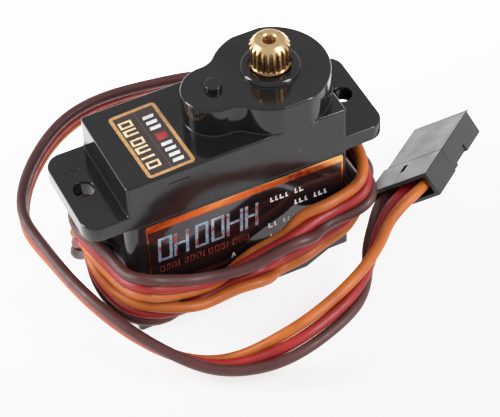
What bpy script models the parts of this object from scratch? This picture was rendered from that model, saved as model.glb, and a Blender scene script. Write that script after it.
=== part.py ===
"""Micro servo motor with a metal gear train, a three-wire ribbon cable and a plug.

Frame: the origin is the centre of the case's underside, +X points to the output shaft's
end, +Y away from the labelled side and +Z up along the output shaft. Sizes are in
millimetres and become metres where vertices are made.
"""
import math

import bmesh
import bpy
import numpy as np
from mathutils import Matrix, Vector

MM = 0.001

# Case
CASE_LENGTH = 23.0
CASE_WIDTH = 11.0
SEAM_LOW = 4.5
SEAM_HIGH = 14.6
DECK_TOP = 20.1
BOSS_TOP = 23.4
WALL_SIDE = 0.75
WALL_END = 0.6
ROOF = 0.9
SHELF = 1.0
CASE_CORNER = 0.35
MIDDLE_LIP = 0.4
LIP_CORNER = 1.2
SEAM_GAP = 0.02

# Mounting ears
EAR_SPAN = 31.6
EAR_THICKNESS = 1.75
EAR_HOLE_SPACING = 27.5
EAR_HOLE_RADIUS = 1.0
EAR_CORNER = 1.7

# Gear axes along X, and the boss round them
OUTPUT_X = 6.2
CENTRE_DISTANCE = 6.0
AXLE_X = OUTPUT_X - CENTRE_DISTANCE
MOTOR_X = AXLE_X - 5.5
BOSS_RADIUS = 5.8
BOSS_OVERHANG = 0.12
BOSS_WALL = 0.9
LOBE_RADIUS = 3.2
WAIST_RADIUS = 2.2
COLLAR_RADIUS = 2.95
COLLAR_RISE = 0.55
PIP_RADIUS = 0.85
PIP_RISE = 0.6
SHAFT_HOLE_RADIUS = 2.08
BUSHING_RADIUS = 2.42

# Gears
MODULE = 0.3
FAST_MODULE = 0.25
WHEEL_TEETH = 28
PINION_TEETH = 12
FIRST_WHEEL_TEETH = 35
MOTOR_TEETH = 9
AXLE_RADIUS = 0.5
STEM_RADIUS = 0.8
RUNNING_CLEARANCE = 0.05
JOURNAL_RADIUS = 1.95
SPLINE_RADIUS = 1.95
SPLINE_TEETH = 21
SPLINE_TOP = 27.1

# Screws through the corners
SCREW_X = 10.3
SCREW_Y = 4.2
SCREW_RADIUS = 0.45
SCREW_HEAD_RADIUS = 0.85
SCREW_TOP = 17.0
POST_RADIUS = 1.05

# Bottom cover
FLOOR = 0.9
STEP_START = 6.6
STEP_END = 9.3
STEP_RISE = 1.5

# Motor
CAN_RADIUS = 4.5
CAN_WALL = 0.4
CAN_LOW = 5.3
CAN_HIGH = 13.4

# Cable
STRAND_RADIUS = 0.5
CORD_POINTS = 110
FINE_POINTS = 1400
BEND_WEIGHT = 10.0

# The cable's route from the case to the plug, along its middle strand. Each row is
# x, y, z, the ribbon's twist in degrees and the distance between strands. At a twist of
# 0 the ribbon lies flat with its brown strand outside, and at 90 brown is on top.
ROUTE = [
    (12.7, 0.0, 3.3, 0, 1.15),
    (13.7, 0.0, 3.3, -2, 1.15),
    (15.8, 1.0, 3.1, -12, 1.15),
    (16.9, 3.6, 2.8, -35, 1.15),
    (15.6, 6.8, 2.4, -60, 1.15),
    (11.6, 8.0, 2.2, -80, 1.15),
    (6.0, 7.7, 2.1, -90, 1.15),
    (0.0, 7.3, 2.1, -90, 1.15),
    (-6.0, 7.3, 2.3, -90, 1.15),
    (-11.0, 7.5, 2.7, -92, 1.15),
    (-13.1, 6.28, 2.61, -82, 1.15),
    (-13.0, 4.1, 4.3, -86, 1.15),
    (-13.75, 0.37, 5.5, -94, 1.15),
    (-13.32, -3.52, 4.22, -89, 1.15),
    (-11.78, -6.32, 4.0, -89, 1.15),
    (-9.03, -7.43, 3.62, -112, 1.15),
    (-5.6, -7.31, 3.6, -159, 1.15),
    (-1.78, -7.24, 4.0, -166, 1.15),
    (1.07, -7.24, 4.47, -213, 1.15),
    (3.07, -6.46, 3.84, -255, 1.15),
    (5.63, -6.35, 4.1, -257, 1.15),
    (8.46, -6.15, 4.59, -275, 1.15),
    (10.85, -6.36, 5.92, -281, 1.15),
    (12.71, -5.22, 6.81, -271, 1.15),
    (13.38, -1.56, 6.5, -270, 1.15),
    (13.24, 2.96, 6.38, -270, 1.15),
    (11.4, 6.9, 6.4, -270, 1.15),
    (6.0, 7.8, 6.4, -270, 1.15),
    (0.0, 7.4, 6.5, -270, 1.15),
    (-6.0, 7.2, 6.8, -270, 1.15),
    (-10.8, 7.2, 7.2, -269, 1.15),
    (-13.12, 4.52, 8.32, -285, 1.15),
    (-14.2, 0.92, 8.94, -281, 1.15),
    (-13.2, -2.92, 8.37, -264, 1.15),
    (-12.37, -5.87, 8.08, -269, 1.15),
    (-11.4, -7.29, 8.34, -270, 1.15),
    (-7.91, -7.6, 6.79, -282, 1.15),
    (-4.03, -7.52, 5.87, -295, 1.15),
    (0.59, -7.7, 7.03, -340, 1.15),
    (5.12, -7.84, 8.37, -364, 1.15),
    (7.1, -7.33, 8.52, -424, 1.15),
    (9.77, -7.0, 8.61, -436, 1.15),
    (12.77, -6.57, 9.3, -422, 1.15),
    (14.0, -3.58, 10.02, -445, 1.15),
    (13.8, 0.53, 10.6, -460, 1.15),
    (13.5, 6.01, 10.21, -512, 1.15),
    (11.0, 12.0, 9.2, -560, 1.15),
    (6.0, 16.6, 8.2, -585, 1.15),
    (1.0, 18.2, 7.5, -600, 1.15),
    (-4.2, 18.9, 7.1, -610, 1.15),
    (-8.9, 18.1, 6.7, -618, 1.15),
    (-12.7, 16.0, 5.9, -622, 1.15),
    (-15.7, 12.9, 5.1, -628, 1.15),
    (-17.2, 9.4, 4.6, -634, 1.15),
    (-16.9, 5.2, 4.2, -640, 1.15),
    (-16.2, 0.1, 4.3, -645, 1.15),
    (-14.9, -4.8, 4.1, -648, 1.15),
    (-12.8, -9.0, 3.3, -655, 1.15),
    (-10.27, -12.18, 2.53, -668, 1.15),
    (-7.64, -14.39, 2.27, -690, 1.15),
    (-4.63, -15.97, 2.82, -715, 1.15),
    (-0.48, -16.93, 4.16, -750, 1.15),
    (3.85, -16.14, 4.74, -764, 1.15),
    (7.64, -14.48, 5.01, -785, 1.15),
    (10.18, -12.38, 5.19, -818, 1.15),
    (11.99, -10.29, 5.34, -845, 1.25),
    (14.0, -8.0, 5.3, -858, 1.35),
    (16.1, -6.4, 5.55, -861, 2.15),
    (18.0, -5.25, 5.4, -861, 2.54),
    (19.2, -4.46, 5.2, -861, 2.54),
]

# Plug: where its wire end is, and its directions
PLUG_ORIGIN = (15.07, -2.89, 4.24)
PLUG_WIDTH_AXIS = (0.571, -0.5406, 0.6178)
PLUG_LENGTH_AXIS = (0.7613, 0.6304, -0.1519)
PLUG_WIDTH = 7.6
PLUG_LENGTH = 11.8
PLUG_THICKNESS = 2.8
PLUG_PITCH = 2.54
PLUG_COLLAR = 4.3
PLUG_STEP = 0.25
PLUG_NOTCH = (5.6, 8.2)
PLUG_NOTCH_DEPTH = 0.35


def remove_startup_objects():
    for obj in list(bpy.data.objects):
        bpy.data.objects.remove(obj, do_unlink=True)


def material(name, colour, roughness, metallic=0.0):
    mat = bpy.data.materials.new(name)
    mat.use_nodes = True
    shader = mat.node_tree.nodes["Principled BSDF"]
    shader.inputs["Base Color"].default_value = (*colour, 1.0)
    shader.inputs["Roughness"].default_value = roughness
    shader.inputs["Metallic"].default_value = metallic
    return mat


# Outlines: lists of (x, y), anticlockwise

def arc(cx, cy, radius, start, end, count):
    """Points from angle start to angle end in degrees, both ends included."""
    points = []
    for i in range(count + 1):
        angle = math.radians(start + (end - start) * i / count)
        points.append((cx + radius * math.cos(angle), cy + radius * math.sin(angle)))
    return points


def circle(cx, cy, radius, count):
    return arc(cx, cy, radius, 0.0, 360.0 * (count - 1) / count, count - 1)


def rectangle(x0, x1, y0, y1):
    return [(x0, y0), (x1, y0), (x1, y1), (x0, y1)]


def rounded_rectangle(x0, x1, y0, y1, radius, count=4, left_radius=None):
    points = []
    left = left_radius or radius
    corners = (
        (x1, y0, -90, radius), (x1, y1, 0, radius),
        (x0, y1, 90, left), (x0, y0, 180, left),
    )
    for x, y, start, size in corners:
        cx = x - math.copysign(size, x - (x0 + x1) / 2)
        cy = y - math.copysign(size, y - (y0 + y1) / 2)
        points += arc(cx, cy, size, start, start + 90, count)
    return points


def cavity_outline():
    """The room inside the walls, which goes round a screw post in each corner."""
    half_x = CASE_LENGTH / 2 - WALL_END
    half_y = CASE_WIDTH / 2 - WALL_SIDE
    low = -math.degrees(math.acos((half_x - SCREW_X) / POST_RADIUS))
    high = 180 - math.degrees(math.asin((half_y - SCREW_Y) / POST_RADIUS)) - 360
    quarter = arc(SCREW_X, SCREW_Y, POST_RADIUS, low, high, 5)
    points = list(quarter)
    points += [(-x, y) for x, y in reversed(quarter)]
    points += [(-x, -y) for x, y in quarter]
    points += [(x, -y) for x, y in reversed(quarter)]
    return points


def boss_outline(big, small, waist, steps):
    """A big circle round the output axis and a small one round the axle, joined by
    hollow fillets of radius waist. The big one is cut flat just proud of the sides."""
    reach = OUTPUT_X - AXLE_X
    a = big + waist
    b = small + waist
    along = (a * a - b * b + reach * reach) / (2 * reach)
    cx = OUTPUT_X - along
    cy = math.sqrt(a * a - along * along)
    to_big = math.degrees(math.atan2(cy, cx - OUTPUT_X))
    to_small = math.degrees(math.atan2(cy, cx - AXLE_X))
    points = arc(OUTPUT_X, 0.0, big, -to_big, to_big, 3 * steps)
    points += arc(cx, cy, waist, to_big - 180, to_small - 180, steps // 2)[1:-1]
    points += arc(AXLE_X, 0.0, small, to_small, 360 - to_small, 2 * steps)
    points += arc(cx, -cy, waist, 180 - to_small, 180 - to_big, steps // 2)[1:-1]
    side = CASE_WIDTH / 2 + BOSS_OVERHANG
    return [(x, max(-side, min(side, y))) for x, y in points]


def gear_outline(teeth, module, phase=0.0, share=0.40):
    """Straight-flanked teeth; share is a tooth's part of the pitch. At phase 0 a tooth
    points along +X, and at phase 0.5 a gap does."""
    pitch_radius = teeth * module / 2
    half = share * math.pi * module / 2
    slope = math.tan(math.radians(20))
    tip = 0.8 * module
    root = 1.1 * module
    stations = ((-root, half + slope * root), (tip, half - slope * tip))
    points = []
    for i in range(teeth):
        middle = 2 * math.pi * (i + phase) / teeth
        for side in (-1, 1):
            for offset, width in stations[::-side]:
                radius = pitch_radius + offset
                angle = middle + side * width / radius
                points.append((radius * math.cos(angle), radius * math.sin(angle)))
    return points


# Solids

def finish_mesh(bm, name, smooth_angle=35):
    bmesh.ops.recalc_face_normals(bm, faces=bm.faces)
    mesh = bpy.data.meshes.new(name)
    bm.to_mesh(mesh)
    bm.free()
    mesh.shade_smooth()
    mesh.set_sharp_from_angle(angle=math.radians(smooth_angle))
    return mesh


def add_prism(bm, loops, z0, z1):
    """Extrude an outline, with the other loops as holes in it, from z0 to z1."""
    edges = []
    for loop in loops:
        verts = [bm.verts.new((x * MM, y * MM, z0 * MM)) for x, y in loop]
        edges += [bm.edges.new((verts[i - 1], verts[i])) for i in range(len(verts))]
    filled = bmesh.ops.triangle_fill(bm, edges=edges, use_beauty=True)
    faces = [item for item in filled["geom"] if isinstance(item, bmesh.types.BMFace)]
    raised = bmesh.ops.extrude_face_region(bm, geom=faces)["geom"]
    verts = [item for item in raised if isinstance(item, bmesh.types.BMVert)]
    bmesh.ops.translate(bm, verts=verts, vec=(0.0, 0.0, (z1 - z0) * MM))


def add_turned(bm, profile, count):
    """Turn an open (radius, z) profile, which starts and ends on the axis, about Z."""
    rings = []
    for radius, z in profile:
        if radius == 0:
            rings.append([bm.verts.new((0.0, 0.0, z * MM))])
            continue
        points = circle(0.0, 0.0, radius, count)
        rings.append([bm.verts.new((x * MM, y * MM, z * MM)) for x, y in points])
    for low, high in zip(rings, rings[1:]):
        for i in range(count):
            corners = [high[0]] if len(high) == 1 else [high[i], high[i - 1]]
            corners += [low[0]] if len(low) == 1 else [low[i - 1], low[i]]
            bm.faces.new(corners)


def new_object(name, mesh, mat, at=(0.0, 0.0, 0.0)):
    obj = bpy.data.objects.new(name, mesh)
    bpy.context.scene.collection.objects.link(obj)
    obj.location = Vector(at) * MM
    if mat:
        mesh.materials.append(mat)
    return obj


def prism(name, loops, z0, z1, mat, at=(0.0, 0.0, 0.0)):
    bm = bmesh.new()
    add_prism(bm, loops, z0, z1)
    return new_object(name, finish_mesh(bm, name), mat, at)


def turned(name, profile, count, mat, at=(0.0, 0.0, 0.0)):
    bm = bmesh.new()
    add_turned(bm, profile, count)
    return new_object(name, finish_mesh(bm, name), mat, at)


def hidden(obj):
    obj.hide_render = True
    obj.display_type = "WIRE"
    return obj


def tool(name, prisms, at=(0.0, 0.0, 0.0)):
    """A hidden cutter or addition made of separate prisms: (loops, z0, z1) each."""
    bm = bmesh.new()
    for loops, z0, z1 in prisms:
        add_prism(bm, loops, z0, z1)
    return hidden(new_object(name, finish_mesh(bm, name), None, at))


def turned_tool(name, profile, count, at=(0.0, 0.0, 0.0)):
    return hidden(turned(name, profile, count, None, at))


def combine(obj, other, operation):
    modifier = obj.modifiers.new(other.name, "BOOLEAN")
    modifier.operation = operation
    modifier.solver = "EXACT"
    modifier.object = other


def screw_positions():
    return [(sx * SCREW_X, sy * SCREW_Y) for sx in (-1, 1) for sy in (-1, 1)]


def ear_outline():
    half = EAR_SPAN / 2
    side = CASE_WIDTH / 2
    return rounded_rectangle(-half, half, -side, side, EAR_CORNER, 5)


def case_outline(extra_left=0.0, left_radius=CASE_CORNER):
    half = CASE_LENGTH / 2
    side = CASE_WIDTH / 2
    return rounded_rectangle(-half - extra_left, half, -side, side, CASE_CORNER, 3, left_radius)


# Case pieces

def make_upper_case(mat):
    low = SEAM_HIGH + SEAM_GAP
    ear_top = SEAM_HIGH + EAR_THICKNESS
    case = prism("upper_case", [case_outline()], low, DECK_TOP, mat)
    ears = tool("add_ears", [([ear_outline()], low, ear_top)])
    combine(case, ears, "UNION")
    boss_loops = [boss_outline(BOSS_RADIUS, LOBE_RADIUS, WAIST_RADIUS, 10)]
    boss = tool("add_boss", [(boss_loops, DECK_TOP - 0.4, BOSS_TOP)])
    combine(case, boss, "UNION")
    collar = tool("add_collar_and_pip", [
        ([circle(OUTPUT_X, 0.0, COLLAR_RADIUS, 32)], BOSS_TOP - 0.3, BOSS_TOP + COLLAR_RISE),
        ([circle(AXLE_X, 0.0, PIP_RADIUS, 16)], BOSS_TOP - 0.3, BOSS_TOP + PIP_RISE),
    ])
    combine(case, collar, "UNION")
    room = tool("cut_gear_room", [([cavity_outline()], low - 1, DECK_TOP - ROOF)])
    combine(case, room, "DIFFERENCE")
    room_low = DECK_TOP - ROOF - 0.3
    inside = [boss_outline(BOSS_RADIUS - BOSS_WALL, LOBE_RADIUS - 0.8, 2.9, 8)]
    boss_room = tool("cut_boss_room", [(inside, room_low, BOSS_TOP - 0.8)])
    combine(case, boss_room, "DIFFERENCE")
    ear_holes = []
    for side in (-1, 1):
        hole = circle(side * EAR_HOLE_SPACING / 2, 0.0, EAR_HOLE_RADIUS, 24)
        ear_holes.append(([hole], low - 1, ear_top + 1))
    for x, y in screw_positions():
        ear_holes.append(([circle(x, y, SCREW_RADIUS + 0.05, 10)], low - 1, SCREW_TOP + 0.3))
    combine(case, tool("cut_ear_and_screw_holes", ear_holes), "DIFFERENCE")
    shaft_hole = tool("cut_bushing_seat", [
        ([circle(OUTPUT_X, 0.0, BUSHING_RADIUS + 0.03, 32)], BOSS_TOP - 1.4, BOSS_TOP + 0.15),
        ([circle(AXLE_X, 0.0, AXLE_RADIUS + 0.03, 16)], BOSS_TOP - 1.4, BOSS_TOP + 0.1),
    ])
    combine(case, shaft_hole, "DIFFERENCE")
    lip_hole = circle(OUTPUT_X, 0.0, SHAFT_HOLE_RADIUS, 32)
    lip = tool("cut_shaft_hole", [([lip_hole], BOSS_TOP - 0.2, BOSS_TOP + 2)])
    combine(case, lip, "DIFFERENCE")
    return case


def make_middle_case(mat):
    high = SEAM_HIGH
    case = prism("middle_case", [case_outline(MIDDLE_LIP, LIP_CORNER)], SEAM_LOW + SEAM_GAP, high, mat)
    room = tool("cut_motor_room", [([cavity_outline()], SEAM_LOW - 1, high - SHELF)])
    combine(case, room, "DIFFERENCE")
    holes = [
        ([circle(MOTOR_X, 0.0, 1.65, 20)], high - SHELF - 0.5, high + 1),
        ([circle(AXLE_X, 0.0, AXLE_RADIUS + 0.03, 12)], high - 0.7, high + 1),
        ([circle(OUTPUT_X, 0.0, STEM_RADIUS + 0.15, 16)], high - SHELF - 0.5, high + 1),
    ]
    for x, y in screw_positions():
        holes.append(([circle(x, y, SCREW_RADIUS + 0.05, 10)], SEAM_LOW - 1, high + 1))
    combine(case, tool("cut_shelf_holes", holes), "DIFFERENCE")
    side = CASE_WIDTH / 2
    recess_loop = rectangle(-10.05, 11.15, -side - 1, -side + 0.14)
    recess = tool("cut_label_recess", [([recess_loop], 4.85, 14.3)])
    combine(case, recess, "DIFFERENCE")
    return case


def make_bottom_cover(mat):
    """The tray under the circuit board. Its underside steps up at the cable's end."""
    half = CASE_LENGTH / 2
    side = CASE_WIDTH / 2
    cover = prism("bottom_cover", [case_outline()], 0.0, SEAM_LOW, mat)
    wedge = [
        (STEP_START, -1.0), (STEP_START, 0.0), (STEP_END, STEP_RISE),
        (half + 1, STEP_RISE), (half + 1, -1.0),
    ]
    step = tool("cut_underside_step", [([wedge], -side - 1, side + 1)])
    step.rotation_euler = (math.pi / 2, 0.0, 0.0)
    combine(cover, step, "DIFFERENCE")
    room = tool("cut_cover_room", [([cavity_outline()], STEP_RISE + FLOOR, SEAM_LOW + 1)])
    combine(cover, room, "DIFFERENCE")
    well_loop = rectangle(-9.0, STEP_START - 0.7, -side + WALL_SIDE, side - WALL_SIDE)
    well = tool("cut_cover_well", [([well_loop], FLOOR, STEP_RISE + FLOOR + 0.1)])
    combine(cover, well, "DIFFERENCE")
    exit_slot = tool("cut_cable_slot", [([rectangle(10.0, half + 1, -2.3, 2.3)], 2.65, 3.95)])
    combine(cover, exit_slot, "DIFFERENCE")
    holes = []
    heads = []
    for x, y in screw_positions():
        seat = screw_seat(x)
        holes.append(([circle(x, y, SCREW_RADIUS + 0.05, 10)], -1.0, SEAM_LOW + 1))
        heads.append(([circle(x, y, SCREW_HEAD_RADIUS + 0.08, 14)], -1.0, seat + 0.65))
    combine(cover, tool("cut_screw_holes", holes), "DIFFERENCE")
    combine(cover, tool("cut_screw_seats", heads), "DIFFERENCE")
    return cover


def screw_seat(x):
    """Height of a screw head's underside in the cover."""
    return 0.15 + (STEP_RISE if x > 0 else 0.0)


def make_screws(mat):
    for number, (x, y) in enumerate(screw_positions(), 1):
        low = screw_seat(x)
        profile = [
            (0.0, low + 0.25), (0.3, low + 0.25), (0.3, low), (0.7, low),
            (SCREW_HEAD_RADIUS, low + 0.15), (SCREW_HEAD_RADIUS, low + 0.6),
            (SCREW_RADIUS, low + 0.6), (SCREW_RADIUS, SCREW_TOP - 0.4),
            (0.15, SCREW_TOP), (0.0, SCREW_TOP),
        ]
        turned(f"case_screw_{number}", profile, 10, mat, (x, y, 0.0))


def make_labels(dark):
    deck = rounded_rectangle(-9.2, -4.1, -4.9, 4.15, 0.5, 4)
    prism("deck_label", [deck], DECK_TOP + 0.02, DECK_TOP + 0.12, dark)
    side = CASE_WIDTH / 2
    face = rectangle(-9.9, 11.0, -side + 0.02, -side + 0.12)
    prism("side_label", [face], 5.0, 14.2, dark)


# Gear train

def make_compound_gear(name, wheel, wheel_z, pinion, pinion_z, bore, at_x, mat):
    """A wheel and a pinion on one hub, with a round bore; each is (teeth, module, phase)."""
    hole = circle(0.0, 0.0, bore, 20)
    gear = prism(name, [gear_outline(*wheel), hole], *wheel_z, mat, (at_x, 0.0, 0.0))
    prisms = [([gear_outline(*pinion), hole], wheel_z[1] - 0.2, pinion_z)]
    combine(gear, tool("add_" + name + "_pinion", prisms, (at_x, 0.0, 0.0)), "UNION")
    return gear


def make_gears(brass, steel):
    """Gears on the axle face the output axis with a tooth, and those there face back with a gap."""
    pin_bore = AXLE_RADIUS + RUNNING_CLEARANCE
    stem_bore = STEM_RADIUS + RUNNING_CLEARANCE
    make_compound_gear(
        "first_gear", (FIRST_WHEEL_TEETH, FAST_MODULE, 0.0), (14.9, 16.0),
        (PINION_TEETH, MODULE, 0.0), 17.5, pin_bore, AXLE_X, brass,
    )
    make_compound_gear(
        "second_gear", (WHEEL_TEETH, MODULE, 0.5), (16.3, 17.4),
        (PINION_TEETH, MODULE, 0.5), 18.9, stem_bore, OUTPUT_X, brass,
    )
    make_compound_gear(
        "third_gear", (WHEEL_TEETH, MODULE, 0.0), (17.7, 18.9),
        (PINION_TEETH, MODULE, 0.0), 21.9, pin_bore, AXLE_X, steel,
    )


def spline_outline():
    points = []
    for i in range(SPLINE_TEETH):
        middle = 360.0 * i / SPLINE_TEETH
        for radius, offset in (
            (SPLINE_RADIUS - 0.28, -5.6), (SPLINE_RADIUS, -3.0),
            (SPLINE_RADIUS, 3.0), (SPLINE_RADIUS - 0.28, 5.6),
        ):
            angle = math.radians(middle + offset)
            points.append((radius * math.cos(angle), radius * math.sin(angle)))
    return points


def make_output_gear(mat):
    """The last wheel with its journal, the splined end above and the stem below."""
    at = (OUTPUT_X, 0.0, 0.0)
    wheel_low = 19.25
    gear = prism("output_gear", [gear_outline(WHEEL_TEETH, MODULE, 0.5)], wheel_low, 22.1, mat, at)
    stem = turned_tool("add_stem", [
        (0.0, 10.6), (STEM_RADIUS, 10.6), (STEM_RADIUS, wheel_low - 0.25),
        (1.3, wheel_low - 0.25), (1.3, 20.0), (0.0, 20.0),
    ], 20, at)
    journal = turned_tool("add_journal", [
        (0.0, 21.0), (JOURNAL_RADIUS, 21.0), (JOURNAL_RADIUS, 24.0), (1.6, 24.15), (0.0, 24.15),
    ], 32, at)
    spline = tool("add_spline", [([spline_outline()], 23.8, SPLINE_TOP - 0.35)], at)
    crown = turned_tool("add_crown", [
        (0.0, 26.0), (1.6, 26.0), (SPLINE_RADIUS - 0.1, SPLINE_TOP - 0.36),
        (SPLINE_RADIUS - 0.3, SPLINE_TOP), (0.0, SPLINE_TOP),
    ], 42, at)
    for piece in (stem, journal, spline, crown):
        combine(gear, piece, "UNION")
    hole = tool("cut_horn_screw_hole", [([circle(0.0, 0.0, 0.6, 16)], 23.0, SPLINE_TOP + 1)], at)
    combine(gear, hole, "DIFFERENCE")
    return gear


def make_bushing(mat):
    bore = JOURNAL_RADIUS + RUNNING_CLEARANCE
    loops = [circle(0.0, 0.0, BUSHING_RADIUS, 32), circle(0.0, 0.0, bore, 32)]
    at = (OUTPUT_X, 0.0, 0.0)
    prism("output_bushing", loops, BOSS_TOP - 0.75, BOSS_TOP + 0.12, mat, at)


def make_axle_pin(mat):
    low = SEAM_HIGH - 0.65
    high = BOSS_TOP + 0.05
    profile = [
        (0.0, low), (AXLE_RADIUS - 0.1, low), (AXLE_RADIUS, low + 0.1),
        (AXLE_RADIUS, high - 0.1), (AXLE_RADIUS - 0.1, high), (0.0, high),
    ]
    turned("axle_pin", profile, 16, mat, (AXLE_X, 0.0, 0.0))


# Motor

def make_motor(steel, dark_metal, copper, plastic, magnet, brass):
    at = (MOTOR_X, 0.0, 0.0)
    shaft_bore = AXLE_RADIUS + RUNNING_CLEARANCE
    inner = CAN_RADIUS - CAN_WALL
    can = prism("motor_can", [circle(0, 0, CAN_RADIUS, 36)], CAN_LOW, CAN_HIGH, steel, at)
    nose = tool("add_motor_nose", [([circle(0, 0, 1.5, 18)], CAN_HIGH - 0.3, CAN_HIGH + 0.9)], at)
    combine(can, nose, "UNION")
    hollow = tool("cut_motor_can", [([circle(0, 0, inner, 36)], CAN_LOW - 1, CAN_HIGH - 0.5)], at)
    combine(can, hollow, "DIFFERENCE")
    bore = tool("cut_motor_nose", [([circle(0, 0, shaft_bore, 16)], CAN_HIGH - 1, CAN_HIGH + 2)], at)
    combine(can, bore, "DIFFERENCE")
    end_loops = [circle(0, 0, inner - 0.05, 36), circle(0, 0, shaft_bore, 16)]
    prism("motor_end_cap", end_loops, CAN_LOW + 0.05, CAN_LOW + 0.85, plastic, at)
    for number, start in enumerate((20, 200), 1):
        outer = arc(0, 0, inner - 0.05, start, start + 140, 12)
        inside = arc(0, 0, inner - 0.75, start + 140, start, 12)
        prism(f"motor_magnet_{number}", [outer + inside], 6.9, 12.7, magnet, at)
    for number, side in enumerate((-1, 1), 1):
        brush = rectangle(min(side * 1.38, side * 2.4), max(side * 1.38, side * 2.4), -0.35, 0.35)
        prism(f"motor_brush_{number}", [brush], 6.25, 6.8, copper, at)
    make_rotor(steel, dark_metal, copper, brass)


def make_rotor(steel, dark_metal, copper, brass):
    at = (MOTOR_X, 0.0, 0.0)
    turned("motor_shaft", [
        (0.0, 5.5), (AXLE_RADIUS, 5.5), (AXLE_RADIUS, 16.15), (0.4, 16.25), (0.0, 16.25),
    ], 16, steel, at)
    bore = circle(0, 0, AXLE_RADIUS + 0.02, 16)
    poles = []
    for i in range(3):
        poles += arc(0, 0, 3.1, 120 * i - 48, 120 * i + 48, 8)
        between = math.radians(120 * i + 60)
        poles.append((1.3 * math.cos(between), 1.3 * math.sin(between)))
    prism("motor_armature", [poles, bore], 7.1, 12.5, dark_metal, at)
    prism("motor_commutator", [circle(0, 0, 1.3, 18), bore], 6.25, 6.95, copper, at)
    pinion = gear_outline(MOTOR_TEETH, FAST_MODULE)
    pinion_bore = circle(0, 0, AXLE_RADIUS + 0.01, 16)
    prism("motor_pinion", [pinion, pinion_bore], 14.75, 16.15, brass, at)


# Electronics

def make_electronics(board_mat, chip, ceramic, plastic, metal):
    at = (OUTPUT_X, 0.0, 0.0)
    pot_loops = [circle(0, 0, 4.2, 32), circle(0, 0, 1.7, 24)]
    prism("potentiometer_body", pot_loops, 10.4, 13.4, plastic, at)
    wiper_loops = [circle(0, 0, 1.6, 24), circle(0, 0, STEM_RADIUS + 0.02, 20)]
    prism("potentiometer_wiper", wiper_loops, 10.7, 13.1, metal, at)
    prism("circuit_board", [rectangle(-8.8, 5.7, -4.5, 4.5)], 2.9, 3.6, board_mat)
    prism("controller_chip", [rectangle(-7.4, -3.0, -2.2, 2.2)], 1.95, 2.85, chip)
    prism("driver_chip", [rectangle(-1.2, 3.8, -2.0, 2.0)], 1.6, 2.85, chip)
    prism("capacitor", [rectangle(1.6, 4.2, 1.8, 3.4)], 3.65, 4.9, ceramic)
    prism("resonator", [rectangle(-6.6, -3.4, 2.2, 3.5)], 3.65, 4.55, metal)


# Cable and plug

def smooth_route(rows, count):
    """Rows read at even steps from the natural cubic curve through the given rows."""
    rows = np.array(rows, dtype=float)
    steps = np.linalg.norm(np.diff(rows[:, :3], axis=0), axis=1)
    at = np.concatenate([[0.0], np.cumsum(steps)])
    size = len(rows)
    matrix = np.eye(size)
    right = np.zeros_like(rows)
    for i in range(1, size - 1):
        before = steps[i - 1]
        after = steps[i]
        matrix[i, i - 1:i + 2] = (before, 2 * (before + after), after)
        right[i] = 3 * ((rows[i + 1] - rows[i]) / after - (rows[i] - rows[i - 1]) / before)
    bend = np.linalg.solve(matrix, right)

    def value(where):
        i = int(np.clip(np.searchsorted(at, where) - 1, 0, size - 2))
        u = where - at[i]
        slope = (rows[i + 1] - rows[i]) / steps[i] - steps[i] * (2 * bend[i] + bend[i + 1]) / 3
        twist = (bend[i + 1] - bend[i]) / (3 * steps[i])
        return rows[i] + slope * u + bend[i] * u ** 2 + twist * u ** 3

    fine = np.array([value(where) for where in np.linspace(0.0, at[-1], 4000)])
    run = np.concatenate([[0.0], np.cumsum(np.linalg.norm(np.diff(fine[:, :3], axis=0), axis=1))])
    even = np.linspace(0.0, run[-1], count)
    return np.stack([np.interp(even, run, fine[:, k]) for k in range(rows.shape[1])], axis=1)


def strand_points(rows):
    """The three strands' centre lines: orange, red and brown side by side."""
    centre = rows[:, :3]
    along = np.gradient(centre, axis=0)
    along /= np.linalg.norm(along, axis=1)[:, None]
    outward = np.cross(along, (0.0, 0.0, 1.0))
    outward /= np.linalg.norm(outward, axis=1)[:, None]
    upward = np.cross(outward, along)
    twist = np.radians(rows[:, 3:4])
    across = (np.cos(twist) * outward + np.sin(twist) * upward) * rows[:, 4:5]
    return {"orange": centre - across, "red": centre, "brown": centre + across}


def stations(points, count):
    """Indices of count of the points, closer together where the line bends. A radian of
    bend counts as BEND_WEIGHT millimetres of length."""
    steps = np.diff(points, axis=0)
    lengths = np.linalg.norm(steps, axis=1)
    along = steps / lengths[:, None]
    turns = np.arccos(np.clip((along[1:] * along[:-1]).sum(axis=1), -1.0, 1.0))
    effort = np.concatenate([[0.0], lengths])
    effort[1:-1] += BEND_WEIGHT * turns
    effort = np.cumsum(effort)
    return np.searchsorted(effort, np.linspace(0.0, effort[-1], count)).clip(0, len(points) - 1)


def make_cable(mats):
    rows = smooth_route(ROUTE, FINE_POINTS)
    picked = stations(rows[:, :3], CORD_POINTS)
    for colour, fine in strand_points(rows).items():
        points = fine[picked]
        curve = bpy.data.curves.new("wire_" + colour, "CURVE")
        curve.dimensions = "3D"
        curve.bevel_depth = STRAND_RADIUS * MM
        curve.bevel_resolution = 2
        curve.use_fill_caps = True
        spline = curve.splines.new("POLY")
        spline.points.add(len(points) - 1)
        for target, point in zip(spline.points, points):
            target.co = (*(point * MM), 1.0)
        curve.materials.append(mats[colour])
        obj = bpy.data.objects.new("wire_" + colour, curve)
        bpy.context.scene.collection.objects.link(obj)


def make_grommet(mat):
    loop = rounded_rectangle(10.6, 12.25, -2.2, 2.2, 0.3, 3)
    prism("cable_grommet", [loop], 2.7, 3.9, mat)


def plug_matrix():
    """Plug axes: X across the wires, Y from the wire end to the tip, Z up through it."""
    across = Vector(PLUG_WIDTH_AXIS).normalized()
    length = Vector(PLUG_LENGTH_AXIS)
    length = (length - across * length.dot(across)).normalized()
    up = across.cross(length)
    turn = Matrix((across, length, up)).transposed().to_4x4()
    return Matrix.Translation(Vector(PLUG_ORIGIN) * MM) @ turn


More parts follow.
